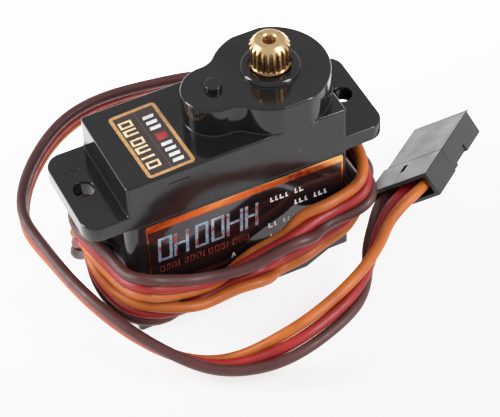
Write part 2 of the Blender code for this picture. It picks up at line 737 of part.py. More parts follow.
def make_plug(black, metal):
    """A female three-way housing. Z 0 is its top face, so it reaches down to -thickness."""
    place = plug_matrix()
    low = -PLUG_THICKNESS
    outline = [
        (0, 0), (PLUG_WIDTH, 0), (PLUG_WIDTH, PLUG_LENGTH), (PLUG_STEP, PLUG_LENGTH),
        (PLUG_STEP, PLUG_COLLAR), (0, PLUG_COLLAR),
    ]
    body = prism("plug_housing", [outline], low, 0.0, black)
    notches = []
    for inner, outer in ((PLUG_WIDTH - 0.7, PLUG_WIDTH + 1), (-1, PLUG_STEP + 0.7)):
        notches.append(([rectangle(inner, outer, *PLUG_NOTCH)], low - 1, low + PLUG_NOTCH_DEPTH))
    combine(body, tool("cut_plug_notches", notches), "DIFFERENCE")
    mouth = tool("cut_plug_wire_mouth", [
        ([rectangle(0.45, PLUG_WIDTH - 0.45, -1, 3.2)], low + 0.4, -0.4),
    ])
    combine(body, mouth, "DIFFERENCE")
    channels = []
    windows = []
    for i in (-1, 0, 1):
        x = PLUG_WIDTH / 2 + i * PLUG_PITCH
        channels.append(([rectangle(x - 0.72, x + 0.72, 2.9, PLUG_LENGTH - 1)], low + 0.6, -0.6))
        windows.append(([rectangle(x - 0.4, x + 0.4, 10, PLUG_LENGTH + 1)], low + 0.95, -0.95))
    combine(body, tool("cut_plug_channels", channels), "DIFFERENCE")
    combine(body, tool("cut_plug_pin_holes", windows), "DIFFERENCE")
    pieces = [body]
    for i, colour in ((-1, "brown"), (0, "red"), (1, "orange")):
        x = PLUG_WIDTH / 2 + i * PLUG_PITCH
        outline = [rectangle(x - 0.65, x + 0.65, 4.0, 10.5), rectangle(x - 0.4, x + 0.4, 6.6, 10.1)]
        pieces.append(prism("contact_" + colour, outline, low + 0.67, -0.67, metal))
    for obj in bpy.data.objects:
        if obj in pieces or obj.name.startswith("cut_plug"):
            obj.matrix_world = place


def main():
    remove_startup_objects()
    black = material("black_gloss_plastic", (0.045, 0.043, 0.046), 0.22)
    brass = material("brass", (0.71, 0.50, 0.22), 0.28, 1.0)
    steel = material("steel", (0.55, 0.55, 0.57), 0.3, 1.0)
    label = material("label_film", (0.03, 0.02, 0.018), 0.12)
    make_upper_case(black)
    make_middle_case(black)
    make_bottom_cover(black)
    make_screws(steel)
    make_labels(label)
    make_axle_pin(steel)
    make_gears(brass, steel)
    make_output_gear(brass)
    make_bushing(material("bronze", (0.55, 0.36, 0.18), 0.4, 1.0))
    copper = material("copper", (0.72, 0.34, 0.18), 0.3, 1.0)
    nylon = material("white_nylon", (0.8, 0.8, 0.78), 0.5)
    magnet = material("magnet", (0.09, 0.09, 0.1), 0.5, 0.4)
    core = material("core_laminations", (0.25, 0.25, 0.26), 0.45, 0.9)
    make_motor(steel, core, copper, nylon, magnet, brass)
    board = material("circuit_board", (0.02, 0.16, 0.06), 0.4)
    chip = material("chip_epoxy", (0.03, 0.03, 0.03), 0.5)
    ceramic = material("ceramic", (0.55, 0.36, 0.2), 0.5)
    phenolic = material("phenolic", (0.12, 0.1, 0.28), 0.5)
    make_electronics(board, chip, ceramic, phenolic, steel)
    make_grommet(material("black_rubber", (0.03, 0.03, 0.03), 0.6))
    make_cable({
        "orange": material("orange_pvc", (0.72, 0.24, 0.045), 0.35),
        "red": material("red_pvc", (0.48, 0.025, 0.02), 0.35),
        "brown": material("brown_pvc", (0.13, 0.045, 0.04), 0.35),
    })
    make_plug(material("black_satin_plastic", (0.06, 0.06, 0.062), 0.45), steel)


main()
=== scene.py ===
"""Looks of the micro servo motor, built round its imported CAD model.

The frame's origin is the centre of the case's underside, +X points to the output
shaft's end, +Y away from the labelled side and +Z up. Shapes are in millimetres and
become metres where vertices are made.
"""
import math

import bmesh
import bpy
import numpy as np
from mathutils import Matrix, Vector


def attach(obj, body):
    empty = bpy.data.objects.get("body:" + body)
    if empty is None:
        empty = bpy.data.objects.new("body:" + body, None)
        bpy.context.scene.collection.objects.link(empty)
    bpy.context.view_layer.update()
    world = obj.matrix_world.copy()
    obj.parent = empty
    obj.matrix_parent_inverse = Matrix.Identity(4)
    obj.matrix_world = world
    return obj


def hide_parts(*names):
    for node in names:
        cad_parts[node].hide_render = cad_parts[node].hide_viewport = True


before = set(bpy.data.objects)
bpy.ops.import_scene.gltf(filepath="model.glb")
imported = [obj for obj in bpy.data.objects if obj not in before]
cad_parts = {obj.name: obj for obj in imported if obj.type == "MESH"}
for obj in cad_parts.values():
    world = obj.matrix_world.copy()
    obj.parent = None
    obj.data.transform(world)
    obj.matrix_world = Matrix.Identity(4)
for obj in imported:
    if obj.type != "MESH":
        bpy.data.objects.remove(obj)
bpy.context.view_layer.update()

MM = 0.001

# Case
CASE_LENGTH = 23.0
CASE_WIDTH = 11.0
HALF_LENGTH = CASE_LENGTH / 2
HALF_WIDTH = CASE_WIDTH / 2
SEAM_LOW = 4.5
SEAM_HIGH = 14.6
SEAM_GAP = 0.02
DECK_TOP = 20.1
BOSS_TOP = 23.4
MIDDLE_LIP = 0.4
WALL_SIDE = 0.75
WALL_END = 0.6
ROOF = 0.9
SHELF = 1.0
CASE_CORNER = 0.35
LIP_CORNER = 1.2

# Mounting ears
EAR_SPAN = 31.6
EAR_THICKNESS = 1.75
EAR_HOLE_X = 13.75
EAR_HOLE_RADIUS = 1.0
EAR_CORNER = 1.7

# Gear axes and the boss round them
OUTPUT_X = 6.2
AXLE_X = 0.2
MOTOR_X = -5.3
BOSS_RADIUS = 5.8
BOSS_OVERHANG = 0.12
LOBE_RADIUS = 3.2
WAIST_RADIUS = 2.2
COLLAR_RADIUS = 2.98
COLLAR_RISE = 0.55
COLLAR_ROUNDING = 0.49
PIP_RADIUS = 0.85
PIP_RISE = 0.6
SHAFT_HOLE_RADIUS = 2.08
BUSHING_SEAT_RADIUS = 2.45

# How far a moulding that is joined on reaches into the one below it
UNION_ROOT = 0.4

# Output shaft
SPLINE_TEETH = 21
SPLINE_RADIUS = 1.95
SPLINE_ROOT = 1.69
SPLINE_TOP = 27.1
WHEEL_TEETH = 28
WHEEL_MODULE = 0.3

# Screws through the corners, and the bottom cover
SCREW_X = 10.3
SCREW_Y = 4.2
SCREW_RADIUS = 0.45
SCREW_HEAD_RADIUS = 0.85
POST_RADIUS = 1.05
FLOOR_THICKNESS = 0.9
STEP_START = 6.6
STEP_END = 9.3
STEP_RISE = 1.5

# Cable
STRAND_RADIUS = 0.56
ROUTE_STEPS = 900

# The cable's route, along its middle strand, in metres. Each row is x, y, z, the
# ribbon's twist in degrees and the distance between strands.
ROUTE = [
    (0.0127, 0.0, 0.0033, 0, 0.00115),
    (0.0137, 0.0, 0.0033, -2, 0.00115),
    (0.0158, 0.001, 0.0031, -12, 0.00115),
    (0.0169, 0.0036, 0.0028, -35, 0.00115),
    (0.0156, 0.0068, 0.0024, -60, 0.00115),
    (0.0116, 0.008, 0.0022, -80, 0.00115),
    (0.006, 0.0077, 0.0021, -90, 0.00115),
    (0.0, 0.0073, 0.0021, -90, 0.00115),
    (-0.006, 0.0073, 0.0023, -90, 0.00115),
    (-0.011, 0.0075, 0.0027, -92, 0.00115),
    (-0.0131, 0.00628, 0.00261, -82, 0.00115),
    (-0.013, 0.0041, 0.0043, -86, 0.00115),
    (-0.01375, 0.00037, 0.0055, -94, 0.00115),
    (-0.01332, -0.00352, 0.00422, -89, 0.00115),
    (-0.01178, -0.00632, 0.004, -89, 0.00115),
    (-0.00903, -0.00743, 0.00362, -112, 0.00115),
    (-0.0056, -0.00731, 0.0036, -159, 0.00115),
    (-0.00178, -0.00724, 0.004, -166, 0.00115),
    (0.00107, -0.00724, 0.00447, -213, 0.00115),
    (0.00307, -0.00646, 0.00384, -255, 0.00115),
    (0.00563, -0.00635, 0.0041, -257, 0.00115),
    (0.00846, -0.00615, 0.00459, -275, 0.00115),
    (0.01085, -0.00636, 0.00592, -281, 0.00115),
    (0.01271, -0.00522, 0.00681, -271, 0.00115),
    (0.01338, -0.00156, 0.0065, -270, 0.00115),
    (0.01324, 0.00296, 0.00638, -270, 0.00115),
    (0.0114, 0.0069, 0.0064, -270, 0.00115),
    (0.006, 0.0078, 0.0064, -270, 0.00115),
    (0.0, 0.0074, 0.0065, -270, 0.00115),
    (-0.006, 0.0072, 0.0068, -270, 0.00115),
    (-0.0108, 0.0072, 0.0072, -269, 0.00115),
    (-0.01312, 0.00452, 0.00832, -285, 0.00115),
    (-0.0142, 0.00092, 0.00894, -281, 0.00115),
    (-0.0132, -0.00292, 0.00837, -264, 0.00115),
    (-0.01237, -0.00587, 0.00808, -269, 0.00115),
    (-0.0114, -0.00729, 0.00834, -270, 0.00115),
    (-0.00791, -0.0076, 0.00679, -282, 0.00115),
    (-0.00403, -0.00752, 0.00587, -295, 0.00115),
    (0.00059, -0.0077, 0.00703, -340, 0.00115),
    (0.00512, -0.00784, 0.00837, -364, 0.00115),
    (0.0071, -0.00733, 0.00852, -424, 0.00115),
    (0.00977, -0.007, 0.00861, -436, 0.00115),
    (0.01277, -0.00657, 0.0093, -422, 0.00115),
    (0.014, -0.00358, 0.01002, -445, 0.00115),
    (0.0138, 0.00053, 0.0106, -460, 0.00115),
    (0.0135, 0.00601, 0.01021, -512, 0.00115),
    (0.011, 0.012, 0.0092, -560, 0.00115),
    (0.006, 0.0166, 0.0082, -585, 0.00115),
    (0.001, 0.0182, 0.0075, -600, 0.00115),
    (-0.0042, 0.0189, 0.0071, -610, 0.00115),
    (-0.0089, 0.0181, 0.0067, -618, 0.00115),
    (-0.0127, 0.016, 0.0059, -622, 0.00115),
    (-0.0157, 0.0129, 0.0051, -628, 0.00115),
    (-0.0172, 0.0094, 0.0046, -634, 0.00115),
    (-0.0169, 0.0052, 0.0042, -640, 0.00115),
    (-0.0162, 0.0001, 0.0043, -645, 0.00115),
    (-0.0149, -0.0048, 0.0041, -648, 0.00115),
    (-0.0128, -0.009, 0.0033, -655, 0.00115),
    (-0.01027, -0.01218, 0.00253, -668, 0.00115),
    (-0.00764, -0.01439, 0.00227, -690, 0.00115),
    (-0.00463, -0.01597, 0.00282, -715, 0.00115),
    (-0.00048, -0.01693, 0.00416, -750, 0.00115),
    (0.00385, -0.01614, 0.00474, -764, 0.00115),
    (0.00764, -0.01448, 0.00501, -785, 0.00115),
    (0.01018, -0.01238, 0.00519, -818, 0.00115),
    (0.01199, -0.01029, 0.00534, -845, 0.00125),
    (0.014, -0.008, 0.0053, -858, 0.00135),
    (0.0161, -0.0064, 0.00555, -861, 0.00215),
    (0.018, -0.00525, 0.0054, -861, 0.00254),
    (0.0192, -0.00446, 0.0052, -861, 0.00254),
]

# Plug: its wire end's corner and its directions
PLUG_ORIGIN = (15.07, -2.89, 4.24)
PLUG_WIDTH_AXIS = (0.571, -0.5406, 0.6178)
PLUG_LENGTH_AXIS = (0.7613, 0.6304, -0.1519)
PLUG_WIDTH = 7.6
PLUG_LENGTH = 11.8
PLUG_THICKNESS = 2.8
PLUG_PITCH = 2.54
PLUG_COLLAR = 4.3
PLUG_STEP = 0.25
PLUG_SIDE_INSET = 0.28
PLUG_LIP = 0.1

# Camera
CAMERA_AT = (-65.82, -157.51, 188.59)
CAMERA_YAW = math.radians(23.70)
CAMERA_PITCH = math.radians(-46.84)
CAMERA_ROLL = math.radians(-2.97)
CAMERA_LENS = 181.1

# Floor: its glow in front of the case and behind it, and how far the change reaches, in metres
GLOW_FRONT = 0.28
GLOW_BACK = 1.75
GLOW_REACH = 0.03

# Softboxes: distance from the case, and each one's direction, size and power
SOFTBOX_DISTANCE = 260
SOFTBOXES = {
    "left_softbox": ((-0.85, 0.36, 0.42), (75, 210), 0.75),
    "right_softbox": ((0.54, -0.64, 0.58), (70, 190), 0.6),
}

# Tone curve: scene light and the light shown for it
TONE_WHITE = 2.4
TONES = ((0.0, 0.0), (0.3, 0.3), (0.55, 0.54), (0.8, 0.75), (1.15, 0.90), (1.6, 0.945), (2.4, 0.97))


# Camera, light and floor

def make_camera():
    look = Vector((
        math.sin(CAMERA_YAW) * math.cos(CAMERA_PITCH),
        math.cos(CAMERA_YAW) * math.cos(CAMERA_PITCH),
        math.sin(CAMERA_PITCH),
    ))
    right = look.cross(Vector((0, 0, 1))).normalized()
    up = right.cross(look)
    x_axis = math.cos(CAMERA_ROLL) * right + math.sin(CAMERA_ROLL) * up
    y_axis = math.cos(CAMERA_ROLL) * up - math.sin(CAMERA_ROLL) * right
    matrix = Matrix((x_axis, y_axis, -look)).transposed().to_4x4()
    matrix.translation = Vector(CAMERA_AT) * MM
    data = bpy.data.cameras.new("camera")
    data.lens = CAMERA_LENS
    data.clip_start = 0.005
    data.clip_end = 10
    camera = bpy.data.objects.new("camera", data)
    bpy.context.scene.collection.objects.link(camera)
    camera.matrix_world = matrix
    bpy.context.scene.camera = camera


def add_area_light(name, direction, distance, size, power):
    """A rectangular softbox that faces the case from the given direction."""
    data = bpy.data.lights.new(name, "AREA")
    data.shape = "RECTANGLE"
    data.size, data.size_y = size[0] * MM, size[1] * MM
    data.energy = power
    light = bpy.data.objects.new(name, data)
    bpy.context.scene.collection.objects.link(light)
    middle = Vector((0, 0, 12)) * MM
    light.location = middle + Vector(direction).normalized() * distance * MM
    light.rotation_euler = (light.location - middle).to_track_quat("Z", "Y").to_euler()


def make_light():
    world = bpy.data.worlds.new("studio")
    bpy.context.scene.world = world
    world.use_nodes = True
    background = world.node_tree.nodes["Background"]
    background.inputs["Color"].default_value = (0.97, 0.98, 1.0, 1.0)
    background.inputs["Strength"].default_value = 0.72
    for name, (direction, size, power) in SOFTBOXES.items():
        add_area_light(name, direction, SOFTBOX_DISTANCE, size, power)
    set_tone_curve(bpy.context.scene.view_settings)


def set_tone_curve(view):
    """Keeps tones up to a mid grey and rolls the brightest off below white."""
    view.view_transform = "Standard"
    view.use_curve_mapping = True
    mapping = view.curve_mapping
    mapping.white_level = (TONE_WHITE, TONE_WHITE, TONE_WHITE)
    curve = mapping.curves[3]
    while len(curve.points) < len(TONES):
        curve.points.new(0.5, 0.5)
    for point, (scene_light, shown) in zip(curve.points, TONES):
        point.location = (scene_light / TONE_WHITE, shown)
        point.handle_type = "AUTO_CLAMPED"
    mapping.update()


def make_floor():
    """A pale sweep that glows more behind the object than in front of it."""
    bpy.ops.mesh.primitive_plane_add(size=3.0, location=(0, 0, -0.01 * MM))
    floor = bpy.context.object
    floor.name = "floor"
    mat = bpy.data.materials.new("floor_paper")
    mat.use_nodes = True
    tree = mat.node_tree
    shader = tree.nodes["Principled BSDF"]
    shader.inputs["Roughness"].default_value = 0.9
    shader.inputs["Specular IOR Level"].default_value = 0.1
    shader.inputs["Base Color"].default_value = (0.72, 0.71, 0.715, 1)
    shader.inputs["Emission Color"].default_value = (1.0, 0.99, 1.0, 1)
    where = add(tree, "ShaderNodeTexCoord").outputs["Object"]
    apart = add(tree, "ShaderNodeSeparateXYZ", {"Vector": where})
    glow = add(tree, "ShaderNodeMapRange", {
        "Value": apart.outputs["Y"], "From Min": -GLOW_REACH, "From Max": GLOW_REACH,
        "To Min": GLOW_FRONT, "To Max": GLOW_BACK,
    }, interpolation_type="SMOOTHSTEP")
    tree.links.new(glow.outputs["Result"], shader.inputs["Emission Strength"])
    floor.data.materials.append(mat)


# Materials

def add(tree, kind, inputs=None, **settings):
    """A new node, with its settings and its inputs given as values or sockets."""
    node = tree.nodes.new(kind)
    for name, value in settings.items():
        setattr(node, name, value)
    for name, value in (inputs or {}).items():
        if isinstance(value, bpy.types.NodeSocket):
            tree.links.new(value, node.inputs[name])
        else:
            node.inputs[name].default_value = value
    return node


def noise(tree, where, size, detail=2.0, roughness=0.5):
    """Noise whose blotches are about size millimetres wide."""
    return add(tree, "ShaderNodeTexNoise", {
        "Vector": where, "Scale": 1 / (size * MM), "Detail": detail, "Roughness": roughness,
    }).outputs["Fac"]


def spread(tree, value, low, high, out_low, out_high):
    """The value's range low to high, stretched over out_low to out_high."""
    return add(tree, "ShaderNodeMapRange", {
        "Value": value, "From Min": low, "From Max": high,
        "To Min": out_low, "To Max": out_high,
    }).outputs["Result"]


def product(tree, first, second):
    """Two values multiplied and kept between 0 and 1."""
    node = add(tree, "ShaderNodeMath", {0: first, 1: second}, operation="MULTIPLY", use_clamp=True)
    return node.outputs[0]


def moved_vector(tree, operation, where, by):
    return add(tree, "ShaderNodeVectorMath", {0: where, 1: by}, operation=operation).outputs[0]


def blend_colour(tree, amount, first, second, kind="MIX"):
    node = add(tree, "ShaderNodeMix", data_type="RGBA", blend_type=kind)
    for socket, value in ((node.inputs[0], amount), (node.inputs[6], first), (node.inputs[7], second)):
        if isinstance(value, bpy.types.NodeSocket):
            tree.links.new(value, socket)
        elif isinstance(value, (int, float)):
            socket.default_value = value
        else:
            socket.default_value = (*value, 1.0)
    return node.outputs[2]


def bump(tree, height, depth, strength=1.0, normal=None):
    """Height 0 to 1 becomes a relief of depth millimetres."""
    node = add(tree, "ShaderNodeBump", {
        "Height": height, "Distance": depth * MM, "Strength": strength,
    })
    if normal:
        tree.links.new(normal, node.inputs["Normal"])
    return node.outputs["Normal"]


def uneven_gloss(tree, shader, pattern, low, high):
    """Roughness that follows a noise pattern from low to high."""
    tree.links.new(spread(tree, pattern, 0.3, 0.7, low, high), shader.inputs["Roughness"])


def relief(tree, shader, pattern, depth, normal=None):
    """The surface's finest bumps, laid over the normal of any broader ones."""
    tree.links.new(bump(tree, pattern, depth, normal=normal), shader.inputs["Normal"])


def new_material(name, **constants):
    """A Principled material, its tree, its shader and the object coordinates."""
    mat = bpy.data.materials.new(name)
    mat.use_nodes = True
    tree = mat.node_tree
    shader = tree.nodes["Principled BSDF"]
    for key, value in constants.items():
        shader.inputs[key.replace("_", " ")].default_value = value
    where = add(tree, "ShaderNodeTexCoord").outputs["Object"]
    return mat, tree, shader, where


def specks(tree, where, cell, size, share):
    """1 on small round specks, one in each of the chosen share of the cells."""
    cells = add(tree, "ShaderNodeTexVoronoi", {
        "Vector": where, "Scale": 1 / (cell * MM), "Randomness": 1.0,
    })
    near = spread(tree, cells.outputs["Distance"], size / cell, 0.4 * size / cell, 0, 1)
    tone = add(tree, "ShaderNodeSeparateColor", {"Color": cells.outputs["Color"]})
    chosen = add(tree, "ShaderNodeMath", {0: tone.outputs["Red"], 1: 1 - share}, operation="GREATER_THAN")
    return product(tree, near, chosen.outputs[0])


def moulded_plastic(name, colour, dust_colour, roughness, grain, wave, dust_share):
    """Moulded plastic: slight flow waves, fine grain, a rougher bloom and specks of dust."""
    mat, tree, shader, where = new_material(name, IOR=1.46)
    bloom = noise(tree, where, 2.6, 4)
    fine = noise(tree, where, 0.12, 3)
    dust = specks(tree, where, 1.3, 0.055, dust_share)
    tone = blend_colour(tree, spread(tree, bloom, 0.35, 0.65, 0, 1), colour, [c * 1.35 for c in colour])
    tree.links.new(blend_colour(tree, dust, tone, dust_colour), shader.inputs["Base Color"])
    gloss = spread(tree, bloom, 0.3, 0.7, roughness * 0.8, roughness * 1.25)
    dull = add(tree, "ShaderNodeMath", {0: gloss, 1: dust}, operation="ADD", use_clamp=True)
    tree.links.new(dull.outputs[0], shader.inputs["Roughness"])
    waves = bump(tree, noise(tree, where, 3.5, 1), wave)
    relief(tree, shader, fine, grain, waves)
    return mat


def printed_film(name, colour, tint, roughness=0.12):
    """Glossy label film with faint ripples from being pressed on by hand."""
    mat, tree, shader, where = new_material(name, IOR=1.52, Coat_Weight=0.4, Coat_Roughness=0.05)
    cloud = noise(tree, where, 1.4, 3)
    tone = blend_colour(tree, spread(tree, cloud, 0.35, 0.65, 0, 1), colour, tint)
    tree.links.new(tone, shader.inputs["Base Color"])
    uneven_gloss(tree, shader, cloud, roughness * 0.8, roughness * 1.3)
    ripples = bump(tree, noise(tree, where, 4.0, 1), 0.05)
    relief(tree, shader, noise(tree, where, 0.2, 2), 0.0012, ripples)
    return mat


def ink(name, colour, shade, metallic=0.0, roughness=0.35):
    """Printed ink, mottled where the film shows through."""
    mat, tree, shader, where = new_material(name, Metallic=metallic)
    patches = noise(tree, where, 0.35, 4)
    tone = blend_colour(tree, spread(tree, patches, 0.42, 0.62, 0, 1), shade, colour)
    tree.links.new(tone, shader.inputs["Base Color"])
    uneven_gloss(tree, shader, patches, roughness, roughness * 1.5)
    relief(tree, shader, noise(tree, where, 0.08, 2), 0.002)
    return mat


def foil(name, painted_glint, painted_dim):
    """Mirror foil with painted reflections: along its length the colour is painted in streaks from deep
    orange to a gold painted highlight, where its crinkles would catch the light. The crinkles are bumped as
    well.
    """
    mat, tree, shader, where = new_material(name, Metallic=1.0)
    stretched = moved_vector(tree, "MULTIPLY", where, (0.16, 1.0, 1.3))
    painted_glint_streaks = noise(tree, stretched, 1.6, 1)
    # Painted reflection: streaks blend the dim orange tone into the gold glint tone
    tone = blend_colour(tree, spread(tree, painted_glint_streaks, 0.44, 0.66, 0, 1), painted_dim, painted_glint)
    tree.links.new(tone, shader.inputs["Base Color"])
    uneven_gloss(tree, shader, noise(tree, where, 0.5, 3), 0.14, 0.26)
    crinkle = bump(tree, noise(tree, stretched, 1.8, 1), 0.05)
    relief(tree, shader, noise(tree, where, 0.3, 2), 0.002, crinkle)
    return mat


# Along the hologram print's noise: dull red, grey, blue, pale grey
HOLOGRAM_TONES = (
    (0.38, (0.34, 0.08, 0.07)), (0.45, (0.34, 0.34, 0.40)),
    (0.53, (0.22, 0.36, 0.52)), (0.62, (0.48, 0.50, 0.54)),
)


def hologram_ink(name):
    """Grey foil print that shifts to blue and red in patches."""
    mat, tree, shader, where = new_material(name, Metallic=0.55)
    patches = noise(tree, where, 1.1, 2)
    ramp = add(tree, "ShaderNodeValToRGB", {"Fac": patches})
    while len(ramp.color_ramp.elements) < len(HOLOGRAM_TONES):
        ramp.color_ramp.elements.new(0.5)
    for element, (at, colour) in zip(ramp.color_ramp.elements, HOLOGRAM_TONES):
        element.position = at
        element.color = (*colour, 1)
    tree.links.new(ramp.outputs["Color"], shader.inputs["Base Color"])
    uneven_gloss(tree, shader, noise(tree, where, 0.3, 3), 0.2, 0.45)
    relief(tree, shader, noise(tree, where, 0.1, 2), 0.002)
    return mat


def turned_metal(name, colour, dark, roughness, centre_x, ring=0.09, tarnish=0.5, painted_shade_below=None):
    """Machined metal with tool rings round a vertical axis, tarnish and tiny scratches. Below an optional
    height and outside the crown's middle it is painted darker: painted shade for the dark case that the
    spline flanks reflect.
    """
    mat, tree, shader, where = new_material(name, Metallic=1.0)
    local = moved_vector(tree, "SUBTRACT", where, (centre_x * MM, 0, 0))
    apart = add(tree, "ShaderNodeSeparateXYZ", {"Vector": local})
    flat = add(tree, "ShaderNodeCombineXYZ", {"X": apart.outputs["X"], "Y": apart.outputs["Y"]})
    radius = add(tree, "ShaderNodeVectorMath", {0: flat.outputs[0]}, operation="LENGTH").outputs["Value"]
    profile = add(tree, "ShaderNodeCombineXYZ", {"X": radius, "Z": apart.outputs["Z"]}).outputs[0]
    rings = noise(tree, profile, ring, 2)
    stain = noise(tree, where, 0.8, 4)
    worn = spread(tree, stain, 0.40, 0.68, 0, tarnish)
    tone = blend_colour(tree, worn, colour, dark)
    # Painted shade: darker below the given height and beyond 1.0 to 1.2 mm radius, on the spline flanks
    if painted_shade_below:
        top = painted_shade_below * MM
        low = spread(tree, apart.outputs["Z"], top, top - 0.3 * MM, 0, 1)
        outside = spread(tree, radius, 1.0 * MM, 1.2 * MM, 0, 1)
        tone = blend_colour(tree, product(tree, low, outside), tone, dark)
    tree.links.new(tone, shader.inputs["Base Color"])
    uneven_gloss(tree, shader, stain, roughness * 0.8, roughness * 1.5)
    tool_rings = bump(tree, rings, 0.006)
    relief(tree, shader, noise(tree, where, 0.05, 2), 0.0015, tool_rings)
    return mat


def pvc(name, colour, shade):
    """Soft PVC insulation: slightly uneven colour, a dull bloom and faint extrusion dimples."""
    mat, tree, shader, where = new_material(name, IOR=1.45)
    cloud = noise(tree, where, 3.2, 3)
    tone = blend_colour(tree, spread(tree, cloud, 0.35, 0.65, 0, 1), colour, shade)
    scuff = spread(tree, noise(tree, where, 0.5, 5, 0.7), 0.58, 0.75, 0, 0.35)
    pale = [0.8 * c + 0.04 for c in colour]
    tree.links.new(blend_colour(tree, scuff, tone, pale), shader.inputs["Base Color"])
    uneven_gloss(tree, shader, noise(tree, where, 0.9, 3), 0.36, 0.55)
    dimples = bump(tree, noise(tree, where, 0.7, 2), 0.012)
    relief(tree, shader, noise(tree, where, 0.07, 2), 0.002, dimples)
    return mat


def plain_detail(name, colour, roughness, metallic=0.0, size=0.4, depth=0.004):
    """A matte or metal finish for inner pieces, with fine mottling and grain."""
    mat, tree, shader, where = new_material(name, Metallic=metallic)
    cloud = noise(tree, where, size, 4)
    tone = blend_colour(tree, spread(tree, cloud, 0.3, 0.7, 0, 1), colour, [c * 0.6 for c in colour])
    tree.links.new(tone, shader.inputs["Base Color"])
    uneven_gloss(tree, shader, cloud, roughness * 0.8, roughness * 1.2)
    relief(tree, shader, noise(tree, where, size / 4, 2), depth)
    return mat


def make_materials():
    dust = (0.35, 0.34, 0.33)
    plug_dust = (0.12, 0.12, 0.12)
    brass = ((0.72, 0.50, 0.26), (0.36, 0.21, 0.10))
    return {
        "case": moulded_plastic("case_gloss_black", (0.007, 0.0065, 0.007), dust, 0.10, 0.0003, 0.02, 0.2),
        "plug": moulded_plastic("plug_black", (0.017, 0.016, 0.017), plug_dust, 0.33, 0.006, 0.03, 0.3),
        "rubber": moulded_plastic("rubber_black", (0.02, 0.02, 0.02), dust, 0.55, 0.006, 0.01, 0.1),
        "deck_film": printed_film("deck_film", (0.030, 0.017, 0.012), (0.022, 0.012, 0.010)),
        "side_film": printed_film("side_film", (0.007, 0.005, 0.006), (0.010, 0.005, 0.006), 0.08),
        "gold": ink("gold_ink", (0.60, 0.34, 0.14), (0.46, 0.24, 0.09), 0.25, 0.32),
        "cream": ink("cream_ink", (0.88, 0.68, 0.46), (0.70, 0.46, 0.25)),
        "white": ink("white_ink", (0.86, 0.87, 0.88), (0.6, 0.6, 0.62)),
        "red": ink("red_ink", (0.40, 0.035, 0.035), (0.22, 0.02, 0.02)),
        "ember": ink("ember_ink", (0.30, 0.035, 0.015), (0.10, 0.012, 0.008)),
        "line": ink("divider_ink", (0.11, 0.07, 0.06), (0.07, 0.045, 0.04)),
        # Orange foil: a gold painted highlight colour and a dim orange painted shade colour
        "foil": foil("orange_foil", (1.0, 0.50, 0.17), (0.62, 0.12, 0.025)),
        "hologram": hologram_ink("hologram_ink"),
        # The splined end is painted darker below 26.45 mm: painted shade on its flanks
        "brass": turned_metal("brass_machined", *brass, 0.25, OUTPUT_X, painted_shade_below=26.45),
        "brass_inner": turned_metal("brass_inner", *brass, 0.3, AXLE_X),
        "steel": turned_metal("steel_turned", (0.56, 0.56, 0.58), (0.3, 0.29, 0.28), 0.28, MOTOR_X),
        "bronze": turned_metal("bronze_sintered", (0.50, 0.31, 0.16), (0.25, 0.14, 0.07), 0.42, OUTPUT_X),
        "copper": plain_detail("copper", (0.72, 0.34, 0.18), 0.3, 1.0),
        "nylon": plain_detail("white_nylon", (0.75, 0.75, 0.72), 0.5),
        "magnet": plain_detail("magnet_ferrite", (0.09, 0.09, 0.1), 0.55, 0.3),
        "core": plain_detail("core_laminations", (0.25, 0.25, 0.26), 0.45, 0.9),
        "board": plain_detail("circuit_board", (0.02, 0.16, 0.06), 0.4),
        "chip": plain_detail("chip_epoxy", (0.03, 0.03, 0.03), 0.5),
        "ceramic": plain_detail("ceramic", (0.55, 0.36, 0.2), 0.5),
        "phenolic": plain_detail("phenolic", (0.12, 0.1, 0.28), 0.5),
        "tin": plain_detail("tin_plate", (0.62, 0.6, 0.55), 0.3, 1.0),
        "orange_wire": pvc("orange_pvc", (0.44, 0.108, 0.011), (0.34, 0.075, 0.008)),
        "red_wire": pvc("red_pvc", (0.30, 0.011, 0.009), (0.23, 0.008, 0.007)),
        "brown_wire": pvc("brown_pvc", (0.075, 0.022, 0.019), (0.058, 0.016, 0.014)),
    }


# Which material each carried-over CAD node shows
NODE_MATERIALS = {
    "steel": ("case_screw_1", "case_screw_2", "case_screw_3", "case_screw_4", "axle_pin",
              "third_gear", "motor_can", "motor_shaft", "potentiometer_wiper"),
    "bronze": ("output_bushing",),
    "brass_inner": ("second_gear", "first_gear", "motor_pinion"),
    "nylon": ("motor_end_cap",),
    "magnet": ("motor_magnet_1", "motor_magnet_2"),
    "copper": ("motor_brush_1", "motor_brush_2", "motor_commutator"),
    "core": ("motor_armature",),
    "phenolic": ("potentiometer_body",),
    "board": ("circuit_board",),
    "chip": ("controller_chip", "driver_chip"),
    "ceramic": ("capacitor",),
    "tin": ("resonator", "contact_brown", "contact_red", "contact_orange"),
    "rubber": ("cable_grommet",),
}


def paint_cad_nodes(mats):
    for key, names in NODE_MATERIALS.items():
        for name in names:
            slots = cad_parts[name].data.materials
            slots.clear()
            slots.append(mats[key])


# Outlines

def arc(cx, cy, radius, start, end, count):
    angles = [math.radians(start + (end - start) * i / count) for i in range(count + 1)]
    return [(cx + radius * math.cos(a), cy + radius * math.sin(a)) for a in angles]


def circle(cx, cy, radius, count):
    return arc(cx, cy, radius, 0, 360, count)[:-1]


def rectangle(x0, x1, y0, y1):
    return [(x0, y0), (x1, y0), (x1, y1), (x0, y1)]


def rounded_rectangle(x0, x1, y0, y1, radius, count=4, left_radius=None):
    left = left_radius or radius
    corners = (
        (x1, y0, -90, radius), (x1, y1, 0, radius),
        (x0, y1, 90, left), (x0, y0, 180, left),
    )
    points = []
    for x, y, start, size in corners:
        cx = x - math.copysign(size, x - (x0 + x1) / 2)
        cy = y - math.copysign(size, y - (y0 + y1) / 2)
        points += arc(cx, cy, size, start, start + 90, count)
    return points


